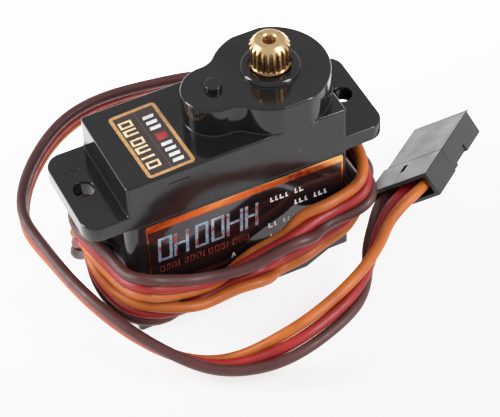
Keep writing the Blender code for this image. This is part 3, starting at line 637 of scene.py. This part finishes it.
def case_outline(extra_left=0.0, left_radius=CASE_CORNER):
    left = -HALF_LENGTH - extra_left
    return rounded_rectangle(left, HALF_LENGTH, -HALF_WIDTH, HALF_WIDTH, CASE_CORNER, 6, left_radius)


def ear_outline():
    half = EAR_SPAN / 2
    return rounded_rectangle(-half, half, -HALF_WIDTH, HALF_WIDTH, EAR_CORNER, 10)


def cavity_outline():
    """The room inside the walls, which goes round a screw post in each corner."""
    half_x = HALF_LENGTH - WALL_END
    half_y = HALF_WIDTH - WALL_SIDE
    low = -math.degrees(math.acos((half_x - SCREW_X) / POST_RADIUS))
    high = 180 - math.degrees(math.asin((half_y - SCREW_Y) / POST_RADIUS)) - 360
    quarter = arc(SCREW_X, SCREW_Y, POST_RADIUS, low, high, 8)
    points = list(quarter)
    points += [(-x, y) for x, y in reversed(quarter)]
    points += [(-x, -y) for x, y in quarter]
    points += [(x, -y) for x, y in reversed(quarter)]
    return points


def boss_outline(big, small, waist, steps, side):
    """Circles round the output axis and the axle, joined by hollow fillets of radius
    waist. The big one is cut flat at side to each side of the middle."""
    reach = OUTPUT_X - AXLE_X
    a = big + waist
    b = small + waist
    along = (a * a - b * b + reach * reach) / (2 * reach)
    cx = OUTPUT_X - along
    cy = math.sqrt(a * a - along * along)
    to_big = math.degrees(math.atan2(cy, cx - OUTPUT_X))
    to_small = math.degrees(math.atan2(cy, cx - AXLE_X))
    points = arc(OUTPUT_X, 0.0, big, -to_big, to_big, 3 * steps)
    points += arc(cx, cy, waist, to_big - 180, to_small - 180, steps // 2)[1:-1]
    points += arc(AXLE_X, 0.0, small, to_small, 360 - to_small, 2 * steps)
    points += arc(cx, -cy, waist, 180 - to_small, 180 - to_big, steps // 2)[1:-1]
    return [(x, max(-side, min(side, y))) for x, y in points]


def gear_outline(teeth, module, phase=0.0, share=0.40):
    """Straight-flanked teeth; share is a tooth's part of the pitch."""
    pitch_radius = teeth * module / 2
    half = share * math.pi * module / 2
    slope = math.tan(math.radians(20))
    tip = 0.8 * module
    root = 1.1 * module
    stations = ((-root, half + slope * root), (tip, half - slope * tip))
    points = []
    for i in range(teeth):
        middle = 2 * math.pi * (i + phase) / teeth
        for side in (-1, 1):
            for offset, width in stations[::-side]:
                radius = pitch_radius + offset
                angle = middle + side * width / radius
                points.append((radius * math.cos(angle), radius * math.sin(angle)))
    return points


def moved_in(loop, distance):
    """The outline moved inwards by distance, its corners mitred; below 0 moves it out."""
    points = [Vector(p) for p in loop]
    moved = []
    for i, here in enumerate(points):
        before = (here - points[i - 1]).normalized()
        after = (points[(i + 1) % len(points)] - here).normalized()
        inward = Vector((-before.y - after.y, before.x + after.x))
        share = 1 + before.dot(after)
        step = inward * (distance / max(share, 0.35))
        moved.append((here.x + step.x, here.y + step.y))
    return moved


# Solids

def add_loft(bm, rings, closed=False):
    """Skins rings of (x, y, z) points. Its ends are capped unless it is closed."""
    made = [[bm.verts.new(Vector(p) * MM) for p in ring] for ring in rings]
    pairs = list(zip(made, made[1:]))
    if closed:
        pairs.append((made[-1], made[0]))
    for low, high in pairs:
        for i in range(len(low)):
            j = (i + 1) % len(low)
            bm.faces.new((low[i], low[j], high[j], high[i]))
    if not closed:
        bm.faces.new(reversed(made[0]))
        bm.faces.new(made[-1])


def add_moulded(bm, loop, z0, z1, top=0.0, bottom=0.0, foot=None, steps=5, clip=None):
    """A prism with rounded top and bottom edges of those radii. Its foot is (height,
    radius) of a hollow fillet, and clip holds the points within (x, y) of the origin."""
    stations = []
    if bottom:
        for i in range(steps + 1):
            turn = math.radians(90 * i / steps)
            stations.append((z0 + bottom * (1 - math.sin(turn)), bottom * (1 - math.cos(turn))))
        stations.reverse()
    elif not foot:
        stations.append((z0, 0.0))
    if foot:
        height, radius = foot
        stations.append((z0, -radius))
        for i in range(steps + 1):
            turn = math.radians(90 * i / steps)
            stations.append((height + radius * (1 - math.cos(turn)), -radius * (1 - math.sin(turn))))
    if top:
        for i in range(steps + 1):
            turn = math.radians(90 * i / steps)
            stations.append((z1 - top * (1 - math.sin(turn)), top * (1 - math.cos(turn))))
    else:
        stations.append((z1, 0.0))
    rings = []
    for z, inset in stations:
        ring = moved_in(loop, inset) if inset else loop
        if clip:
            ring = [(max(-clip[0], min(clip[0], x)), max(-clip[1], min(clip[1], y))) for x, y in ring]
        rings.append([(x, y, z) for x, y in ring])
    add_loft(bm, rings)


def add_turned(bm, profile, count, at=(0.0, 0.0)):
    """Turns (radius, z) points round a vertical axis at the given x and y. The profile
    starts and ends on the axis."""
    rings = []
    for radius, z in profile[1:-1]:
        rings.append([(at[0] + x, at[1] + y, z) for x, y in circle(0, 0, radius, count)])
    add_loft(bm, rings)


def add_block(bm, x0, x1, y0, y1, z0, z1):
    loop = rectangle(x0, x1, y0, y1)
    add_loft(bm, [[(x, y, z0) for x, y in loop], [(x, y, z1) for x, y in loop]])


def rounded_profile(radius, low, high, rim, steps=5):
    """A turned post's profile, its top edge rounded to the rim radius."""
    profile = [(0.0, low), (radius, low)]
    for i in range(steps + 1):
        turn = math.radians(90 * i / steps)
        profile.append((radius - rim * (1 - math.cos(turn)), high - rim * (1 - math.sin(turn))))
    return profile + [(0.0, high)]


def new_piece(name, bm, mat, matrix=None):
    bmesh.ops.recalc_face_normals(bm, faces=bm.faces)
    mesh = bpy.data.meshes.new(name)
    bm.to_mesh(mesh)
    bm.free()
    if mat:
        mesh.materials.append(mat)
    obj = bpy.data.objects.new(name, mesh)
    bpy.context.scene.collection.objects.link(obj)
    if matrix:
        obj.matrix_world = matrix
    return obj


def carve(obj, shapes, operation="DIFFERENCE"):
    """Adds or cuts away shapes, a function that fills a bmesh, and keeps the result."""
    bm = bmesh.new()
    shapes(bm)
    other = new_piece("cutter", bm, None, obj.matrix_world)
    modifier = obj.modifiers.new("carve", "BOOLEAN")
    modifier.operation = operation
    modifier.solver = "EXACT"
    modifier.use_self = True
    modifier.object = other
    bpy.context.view_layer.update()
    evaluated = obj.evaluated_get(bpy.context.evaluated_depsgraph_get())
    mesh = bpy.data.meshes.new_from_object(evaluated)
    obj.modifiers.clear()
    obj.data = mesh
    bpy.data.objects.remove(other)


def smooth(obj, angle=30):
    obj.data.shade_smooth()
    obj.data.set_sharp_from_angle(angle=math.radians(angle))
    modifier = obj.modifiers.new("even_normals", "WEIGHTED_NORMAL")
    modifier.keep_sharp = True
    modifier.weight = 100


def stands_for(obj, body, slot, *nodes):
    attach(obj, body)
    if nodes:
        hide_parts(*nodes)


# Cable and plug

def smooth_route(rows, count):
    """Rows read at even steps from the natural cubic curve through the given rows."""
    rows = np.array(rows, dtype=float)
    steps = np.linalg.norm(np.diff(rows[:, :3], axis=0), axis=1)
    at = np.concatenate([[0.0], np.cumsum(steps)])
    size = len(rows)
    matrix = np.eye(size)
    right = np.zeros_like(rows)
    for i in range(1, size - 1):
        before = steps[i - 1]
        after = steps[i]
        matrix[i, i - 1:i + 2] = (before, 2 * (before + after), after)
        right[i] = 3 * ((rows[i + 1] - rows[i]) / after - (rows[i] - rows[i - 1]) / before)
    bend = np.linalg.solve(matrix, right)

    def value(where):
        i = int(np.clip(np.searchsorted(at, where) - 1, 0, size - 2))
        u = where - at[i]
        slope = (rows[i + 1] - rows[i]) / steps[i] - steps[i] * (2 * bend[i] + bend[i + 1]) / 3
        twist = (bend[i + 1] - bend[i]) / (3 * steps[i])
        return rows[i] + slope * u + bend[i] * u ** 2 + twist * u ** 3

    fine = np.array([value(where) for where in np.linspace(0.0, at[-1], 6000)])
    run = np.concatenate([[0.0], np.cumsum(np.linalg.norm(np.diff(fine[:, :3], axis=0), axis=1))])
    even = np.linspace(0.0, run[-1], count)
    return np.stack([np.interp(even, run, fine[:, k]) for k in range(rows.shape[1])], axis=1)


def strand_points(rows):
    """The three strands' centre lines: orange, red and brown side by side."""
    centre = rows[:, :3]
    along = np.gradient(centre, axis=0)
    along /= np.linalg.norm(along, axis=1)[:, None]
    outward = np.cross(along, (0.0, 0.0, 1.0))
    outward /= np.linalg.norm(outward, axis=1)[:, None]
    upward = np.cross(outward, along)
    twist = np.radians(rows[:, 3:4])
    across = (np.cos(twist) * outward + np.sin(twist) * upward) * rows[:, 4:5]
    return {"orange": centre - across, "red": centre, "brown": centre + across}


def make_cable(mats):
    for colour, points in strand_points(smooth_route(ROUTE, ROUTE_STEPS)).items():
        curve = bpy.data.curves.new("strand_" + colour, "CURVE")
        curve.dimensions = "3D"
        curve.bevel_depth = STRAND_RADIUS * MM
        curve.bevel_resolution = 6
        curve.use_fill_caps = True
        spline = curve.splines.new("POLY")
        spline.points.add(len(points) - 1)
        for target, point in zip(spline.points, points):
            target.co = (*point, 1.0)
        curve.materials.append(mats[colour + "_wire"])
        strand = bpy.data.objects.new("strand_" + colour, curve)
        bpy.context.scene.collection.objects.link(strand)
        stands_for(strand, "case", colour + "_pvc", "wire_" + colour)


def plug_matrix():
    """Plug axes: X across the wires, Y from the wire end to the tip, Z up through it."""
    across = Vector(PLUG_WIDTH_AXIS).normalized()
    length = Vector(PLUG_LENGTH_AXIS)
    length = (length - across * length.dot(across)).normalized()
    up = across.cross(length)
    turn = Matrix((across, length, up)).transposed().to_4x4()
    return Matrix.Translation(Vector(PLUG_ORIGIN) * MM) @ turn


def make_plug(mats):
    """A female three-way housing. Z 0 is its top face, so it reaches down to -thickness."""
    wide = PLUG_WIDTH
    low = -PLUG_THICKNESS
    bm = bmesh.new()
    shank = rounded_rectangle(PLUG_STEP + 0.2, wide, PLUG_COLLAR - 0.3, PLUG_LENGTH, 0.16, 4)
    add_moulded(bm, shank, low, 0, 0.08, 0.08)
    plug = new_piece("plug_body", bm, mats["plug"], plug_matrix())

    def collar(bm):
        add_moulded(bm, rounded_rectangle(0, wide, 0, PLUG_COLLAR, 0.16, 4), low, 0, 0.08, 0.08)

    def mouth(bm):
        add_block(bm, 0.45, wide - 0.45, -1, 3.2, low + 0.4, -0.4)
        for i in (-1, 0, 1):
            x = wide / 2 + i * PLUG_PITCH
            add_block(bm, x - 0.72, x + 0.72, 2.9, PLUG_LENGTH - 1, low + 0.6, -0.6)
            add_block(bm, x - 0.4, x + 0.4, 10, PLUG_LENGTH + 1, low + 0.95, -0.95)

    def notches(bm):
        for x0, x1 in ((wide - 0.7, wide + 1), (-1, PLUG_STEP + 0.7)):
            add_block(bm, x0, x1, 5.6, 8.2, low - 1, low + 0.35)
            add_block(bm, x0, x1, 7.85, 8.2, low - 1, low + 0.85)

    def side_insets(bm):
        for x0, x1 in ((wide - PLUG_SIDE_INSET, wide + 1), (-1, PLUG_STEP + 0.35)):
            add_block(bm, x0, x1, PLUG_COLLAR + 0.05, PLUG_LENGTH + 1, low - 0.2, -PLUG_LIP)

    def top_marks(bm):
        add_block(bm, -1, wide + 1, PLUG_COLLAR - 0.02, PLUG_COLLAR + 0.06, -0.05, 1)
        add_block(bm, 3.15, 3.65, 2.2, 3.5, -0.3, 1)
        add_block(bm, 3.37, 3.43, -1, 2.3, -0.05, 1)

    carve(plug, collar, "UNION")
    for shapes in (mouth, notches, side_insets, top_marks):
        carve(plug, shapes)
    smooth(plug)
    stands_for(plug, "case", "plug_black", "plug_housing")
    return plug


# Case

def add_hole(bm, x, y, radius, low, high, flare=0.0, count=48):
    """A round cutter from low to above high, opened out by flare at the rim."""
    profile = [(0.0, low), (radius, low), (radius, high - flare)]
    if flare:
        for i in range(1, 5):
            turn = math.radians(90 * i / 4)
            profile.append((radius + flare * (1 - math.cos(turn)), high - flare * (1 - math.sin(turn))))
    profile += [(radius + flare, high + 1), (0.0, high + 1)]
    add_turned(bm, profile, count, (x, y))


def screw_positions():
    return [(sx * SCREW_X, sy * SCREW_Y) for sx in (-1, 1) for sy in (-1, 1)]


def make_upper_case(mat):
    low = SEAM_HIGH + SEAM_GAP
    ear_top = SEAM_HIGH + EAR_THICKNESS
    bm = bmesh.new()
    ear_clip = (EAR_SPAN / 2, HALF_WIDTH)
    add_moulded(bm, case_outline(), low, DECK_TOP, 0.24, foot=(ear_top, 0.12), clip=ear_clip)
    case = new_piece("upper_shell", bm, mat)

    def ears(bm):
        add_moulded(bm, ear_outline(), low, ear_top, 0.16, 0.10)

    def boss(bm):
        side = HALF_WIDTH + BOSS_OVERHANG
        outline = boss_outline(BOSS_RADIUS, LOBE_RADIUS, WAIST_RADIUS, 30, side)
        clip = (OUTPUT_X + BOSS_RADIUS, side)
        add_moulded(bm, outline, DECK_TOP - UNION_ROOT, BOSS_TOP, 0.24, foot=(DECK_TOP, 0.12), clip=clip)

    def collar(bm):
        root = BOSS_TOP - UNION_ROOT
        skirt = COLLAR_RADIUS + 0.1
        rise = BOSS_TOP + COLLAR_RISE
        profile = [(0.0, root), (skirt, root), (skirt, BOSS_TOP), (COLLAR_RADIUS + 0.03, BOSS_TOP + 0.03)]
        profile += rounded_profile(COLLAR_RADIUS, BOSS_TOP + 0.05, rise, COLLAR_ROUNDING, 10)[1:]
        add_turned(bm, profile, 128, (OUTPUT_X, 0.0))
        add_turned(bm, rounded_profile(PIP_RADIUS, root, BOSS_TOP + PIP_RISE, 0.12), 64, (AXLE_X, 0.0))

    def gear_room(bm):
        outline = cavity_outline()
        add_loft(bm, [[(x, y, low - 1) for x, y in outline], [(x, y, DECK_TOP - ROOF) for x, y in outline]])

    def boss_room(bm):
        outline = boss_outline(BOSS_RADIUS - 0.9, LOBE_RADIUS - 0.8, 2.9, 16, HALF_WIDTH)
        ends = (DECK_TOP - ROOF - 0.3, BOSS_TOP - 0.8)
        add_loft(bm, [[(x, y, z) for x, y in outline] for z in ends])

    def ear_holes(bm):
        for side in (-1, 1):
            add_hole(bm, side * EAR_HOLE_X, 0.0, EAR_HOLE_RADIUS, low - 1, ear_top, 0.12)
        for x, y in screw_positions():
            add_hole(bm, x, y, SCREW_RADIUS + 0.05, low - 1, ear_top - 1.2, count=16)

    def shaft_hole(bm):
        add_hole(bm, OUTPUT_X, 0.0, BUSHING_SEAT_RADIUS, BOSS_TOP - 1.4, BOSS_TOP - 0.85)

    def shaft_lip(bm):
        add_hole(bm, OUTPUT_X, 0.0, SHAFT_HOLE_RADIUS, BOSS_TOP - 0.2, BOSS_TOP + COLLAR_RISE, 0.14, 96)

    def marks(bm):
        add_hole(bm, -14.05, 2.16, 0.76, ear_top - 0.035, ear_top + 0.5)
        add_block(bm, -7.3, -5.1, -HALF_WIDTH - 1, -HALF_WIDTH + 0.05, 18.86, 19.08)

    carve(case, ears, "UNION")
    carve(case, boss, "UNION")
    carve(case, collar, "UNION")
    for shapes in (gear_room, boss_room, ear_holes, shaft_hole, shaft_lip, marks):
        carve(case, shapes)
    smooth(case)
    stands_for(case, "case", "black_case", "upper_case")


def make_middle_case(mat):
    bm = bmesh.new()
    outline = case_outline(MIDDLE_LIP, LIP_CORNER)
    add_moulded(bm, outline, SEAM_LOW + SEAM_GAP, SEAM_HIGH, 0.12, 0.10)
    case = new_piece("middle_shell", bm, mat)

    def room(bm):
        outline = cavity_outline()
        add_loft(bm, [[(x, y, z) for x, y in outline] for z in (SEAM_LOW - 1, SEAM_HIGH - SHELF)])

    def holes(bm):
        add_hole(bm, MOTOR_X, 0.0, 1.65, SEAM_HIGH - SHELF - 0.5, SEAM_HIGH)
        add_hole(bm, OUTPUT_X, 0.0, 0.95, SEAM_HIGH - SHELF - 0.5, SEAM_HIGH)
        for x, y in screw_positions():
            add_hole(bm, x, y, SCREW_RADIUS + 0.05, SEAM_LOW - 1, SEAM_HIGH, count=16)

    def recess(bm):
        add_block(bm, -10.05, 11.15, -HALF_WIDTH - 1, -HALF_WIDTH + 0.14, 4.85, 14.3)

    for shapes in (room, holes, recess):
        carve(case, shapes)
    smooth(case)
    stands_for(case, "case", "black_case", "middle_case")


def make_bottom_cover(mat):
    """The tray under the circuit board. Its underside steps up at the cable's end."""
    bm = bmesh.new()
    add_moulded(bm, case_outline(), 0.0, SEAM_LOW, 0.08, 0.16)
    cover = new_piece("bottom_shell", bm, mat)

    def step(bm):
        side = HALF_WIDTH + 1
        wedge = (
            (STEP_START, -1.0), (STEP_START, 0.0), (STEP_END, STEP_RISE),
            (HALF_LENGTH + 1, STEP_RISE), (HALF_LENGTH + 1, -1.0),
        )
        add_loft(bm, [[(x, y, z) for x, z in wedge] for y in (-side, side)])

    def room(bm):
        outline = cavity_outline()
        add_loft(bm, [[(x, y, z) for x, y in outline] for z in (STEP_RISE + FLOOR_THICKNESS, SEAM_LOW + 1)])

    def slot(bm):
        add_block(bm, 10.0, HALF_LENGTH + 1, -2.3, 2.3, 2.65, 3.95)

    def holes(bm):
        for x, y in screw_positions():
            seat = 0.15 + (STEP_RISE if x > 0 else 0.0)
            add_turned(bm, [
                (0.0, -1.0), (SCREW_HEAD_RADIUS + 0.08, -1.0), (SCREW_HEAD_RADIUS + 0.08, seat + 0.65),
                (SCREW_RADIUS + 0.05, seat + 0.66), (SCREW_RADIUS + 0.05, SEAM_LOW + 1), (0.0, SEAM_LOW + 1),
            ], 32, (x, y))

    for shapes in (step, room, slot, holes):
        carve(cover, shapes)
    smooth(cover)
    stands_for(cover, "case", "black_case", "bottom_cover")


# Labels

def slanted(x, y, width, height, lean):
    """A parallelogram whose lower left corner is x, y."""
    return [(x, y), (x + width, y), (x + width + lean, y + height), (x + lean, y + height)]


def hollow(loop, line):
    """The outline of a shape as a band: its points, then the inset ones."""
    return loop, moved_in(loop, line)


def add_print(bm, loop, place, inner=None, height=0.008):
    """A printed shape. place turns (x, y, height) of the print into the case's x, y, z."""
    if inner is None:
        add_loft(bm, [[place(x, y, z) for x, y in loop] for z in (-0.002, height)])
        return
    add_loft(bm, [
        [place(x, y, -0.002) for x, y in loop], [place(x, y, height) for x, y in loop],
        [place(x, y, height) for x, y in inner], [place(x, y, -0.002) for x, y in inner],
    ], closed=True)


def print_piece(name, mat, shapes, place):
    """One ink's shapes on one label. A shape is an outline, or an outline and a hole."""
    bm = bmesh.new()
    for shape in shapes:
        if isinstance(shape, tuple):
            add_print(bm, shape[0], place, shape[1])
        else:
            add_print(bm, shape, place)
    piece = new_piece(name, bm, mat)
    stands_for(piece, "case", "label_film")


DECK_LABEL_AT = (-6.70, -0.53)
DECK_LABEL_TURN = math.radians(2.2)
DECK_LABEL_SIZE = (5.02, 9.17)
DECK_LABEL_Z = (DECK_TOP - 0.02, DECK_TOP + 0.035)


def on_deck(u, v, height):
    """u runs to the label's right, v to its back, from its middle."""
    cos, sin = math.cos(DECK_LABEL_TURN), math.sin(DECK_LABEL_TURN)
    x = DECK_LABEL_AT[0] + cos * u - sin * v
    y = DECK_LABEL_AT[1] + sin * u + cos * v
    return x, y, DECK_LABEL_Z[1] + height


def make_deck_label(mats):
    half_u, half_v = DECK_LABEL_SIZE[0] / 2, DECK_LABEL_SIZE[1] / 2
    outline = rounded_rectangle(-half_u, half_u, -half_v, half_v, 0.5, 8)
    depth = DECK_LABEL_Z[0] - DECK_LABEL_Z[1]
    bm = bmesh.new()
    add_loft(bm, [
        [on_deck(u, v, depth) for u, v in outline],
        [on_deck(u, v, -0.01) for u, v in outline],
        [on_deck(u, v, 0.0) for u, v in moved_in(outline, 0.01)],
    ])
    film = new_piece("deck_film", bm, mats["deck_film"])
    smooth(film)
    stands_for(film, "case", "label_film", "deck_label")
    frame_loop = moved_in(outline, 0.05)
    print_piece("deck_frame", mats["gold"], [(frame_loop, moved_in(outline, 0.40))], on_deck)
    divider = [rectangle(0.03, 0.13, -4.1, 4.15)]
    print_piece("deck_divider", mats["line"], divider, on_deck)
    # Right row: white bars with a red one in the middle
    white = [slanted(0.48, at, 1.12, 0.42, 0.10) for at in (-3.70, -2.90, -2.10, -1.30, 1.10, 1.90, 2.70)]
    print_piece("deck_marks_white", mats["white"], white, on_deck)
    red = [slanted(0.48, -0.45, 1.12, 0.95, 0.10)]
    print_piece("deck_marks_red", mats["red"], red, on_deck)
    # Left row: six cream marks, in a pair and a group of four
    cream = []
    at = -3.42
    for kind in ("box", "bar", "fork", "box", None, "fork", "box"):
        if kind == "box":
            cream.append(hollow(slanted(-1.95, at, 1.35, 0.92, 0.06), 0.22))
        elif kind == "bar":
            cream.append(slanted(-1.95, at + 0.30, 1.35, 0.26, 0.0))
        elif kind == "fork":
            cream.append(slanted(-1.95, at, 1.35, 0.24, 0.0))
            cream.append(slanted(-1.95, at + 0.62, 1.35, 0.24, 0.0))
            cream.append(slanted(-1.95, at + 0.24, 0.28, 0.38, 0.0))
        at += 1.12 if kind else 0.35
    print_piece("deck_marks_cream", mats["cream"], cream, on_deck)


def on_side(x, z, height):
    return x, -HALF_WIDTH + 0.03 - height, z


def make_side_label(mats):
    left, right, low, high = -9.98, 11.05, 4.95, 14.2
    outline = rounded_rectangle(left, right, low, high, 0.3, 5)
    bm = bmesh.new()
    add_loft(bm, [
        [on_side(x, z, -0.1) for x, z in outline],
        [on_side(x, z, -0.015) for x, z in outline],
        [on_side(x, z, 0.0) for x, z in moved_in(outline, 0.02)],
    ])
    film = new_piece("side_film", bm, mats["side_film"])
    smooth(film)
    stands_for(film, "case", "label_film", "side_label")
    outer = moved_in(outline, 0.02)
    inner = rounded_rectangle(left + 0.2, right - 0.2, low + 0.5, high - 0.95, 0.08, 5)
    print_piece("side_foil", mats["foil"], [(outer, inner)], on_side)
    # Big marks: three hollow ones, and three pairs of posts with a bar between them
    big = []
    foot = 8.85
    stroke = 0.32
    for x0, x1 in ((-8.95, -7.35), (-5.03, -3.53), (-3.33, -1.83)):
        big.append(hollow(slanted(x0, foot, x1 - x0 - 0.1, 3.2, 0.12), 0.31))
    for x0, x1 in ((-7.28, -5.71), (-1.70, 0.07), (0.28, 1.71)):
        big.append(slanted(x0, foot, stroke, 3.1, 0.12))
        big.append(slanted(x1 - stroke, foot, stroke, 3.1, 0.12))
        big.append(slanted(x0 + stroke, 10.3, x1 - x0 - 2 * stroke, stroke, 0.0))
    print_piece("side_marks_big", mats["hologram"], big, on_side)
    # A row of small dark red marks, one pale chevron, and rows of white dashes
    small = []
    x = -8.88
    for i in range(15):
        width = (0.5, 0.38, 0.46)[i % 3]
        if i % 4 != 3:
            small.append(hollow(slanted(x, 7.35, width, 0.78, 0.04), 0.09))
        else:
            small.append(slanted(x, 7.35, 0.16, 0.78, 0.04))
        x += width + 0.2
    print_piece("side_marks_small", mats["ember"], small, on_side)
    white = [[
        (-1.32, 5.62), (-1.18, 5.62), (-1.07, 5.98), (-0.96, 5.62), (-0.82, 5.62),
        (-1.01, 6.22), (-1.13, 6.22),
    ]]
    rows = ((3.1, 7.0, 11.3), (5.7, 9.75, 9.75), (2.8, 6.9, 7.8), (2.95, 6.2, 6.2))
    for row, (start, end, z) in enumerate(rows):
        x = start
        i = row
        while x < end - 0.4:
            width = (0.36, 0.30, 0.44, 0.28)[i % 4]
            if i % 5 != 4:
                white.append(slanted(x, z, width, 0.16, 0.0))
                white.append(slanted(x, z + 0.22, 0.13, 0.38, 0.02))
            x += width + 0.18
            i += 1
    print_piece("side_marks_white", mats["white"], white, on_side)


# Output shaft

def shaft_ring(z, radius_at, count=SPLINE_TEETH * 12):
    ring = []
    for i in range(count):
        turn = 2 * math.pi * i / count
        radius = radius_at(turn)
        ring.append((OUTPUT_X + radius * math.cos(turn), radius * math.sin(turn), z))
    return ring


def make_output_gear(mats):
    """The wheel, journal and splined end, with a thread down its middle."""
    def tooth(turn):
        wave = math.cos(SPLINE_TEETH * turn)
        share = min(1.0, max(0.0, 0.5 + 0.95 * wave))
        return SPLINE_ROOT + (SPLINE_RADIUS - SPLINE_ROOT) * share

    def thread(z):
        def radius_at(turn):
            phase = ((z - 23.0) / 0.32 - turn / (2 * math.pi)) % 1.0
            return 0.60 + 0.07 * abs(2 * phase - 1)
        return radius_at

    rings = []
    for radius, z in ((SPLINE_RADIUS, 20.6), (SPLINE_RADIUS, 24.05), (SPLINE_RADIUS - 0.03, 24.14),
                      (SPLINE_RADIUS - 0.1, 24.22)):
        rings.append(shaft_ring(z, lambda turn, r=radius: r))
    for base, z in ((1.80, 24.27), (1.72, 24.30), (0.0, 24.32)):
        rings.append(shaft_ring(z, lambda turn, r=base: max(r, min(tooth(turn), SPLINE_RADIUS - 0.05))))
    rings.append(shaft_ring(24.36, tooth))
    for cone, z in ((1.97, 26.34), (1.93, 26.42), (1.88, 26.50), (1.82, 26.58), (1.76, 26.66),
                    (1.69, 26.74), (1.61, 26.83), (1.53, 26.92), (1.45, 27.0), (1.38, 27.05),
                    (1.30, 27.085), (1.20, SPLINE_TOP)):
        rings.append(shaft_ring(z, lambda turn, r=cone: min(tooth(turn), r)))
    for radius, z in ((0.80, SPLINE_TOP), (0.76, 27.08), (0.70, 27.0)):
        rings.append(shaft_ring(z, lambda turn, r=radius: r))
    for i in range(60):
        z = 26.95 - 0.055 * i
        rings.append(shaft_ring(z, thread(z)))
    bm = bmesh.new()
    add_loft(bm, rings)
    wheel = [(OUTPUT_X + x, y) for x, y in gear_outline(WHEEL_TEETH, WHEEL_MODULE, 0.5)]
    add_loft(bm, [[(x, y, z) for x, y in wheel] for z in (19.25, 22.1)])
    stem = [(0.0, 10.6), (0.8, 10.6), (0.8, 19.0), (1.3, 19.05), (1.3, 20.0), (0.0, 20.0)]
    add_turned(bm, stem, 48, (OUTPUT_X, 0.0))
    gear = new_piece("output_shaft", bm, mats["brass"])
    smooth(gear, 35)
    stands_for(gear, "output", "brass", "output_gear")


def main():
    make_camera()
    mats = make_materials()
    plug = make_plug(mats)
    make_cable(mats)
    paint_cad_nodes(mats)
    make_upper_case(mats["case"])
    make_middle_case(mats["case"])
    make_bottom_cover(mats["case"])
    make_deck_label(mats)
    make_side_label(mats)
    make_output_gear(mats)
    make_light()
    make_floor()


main()
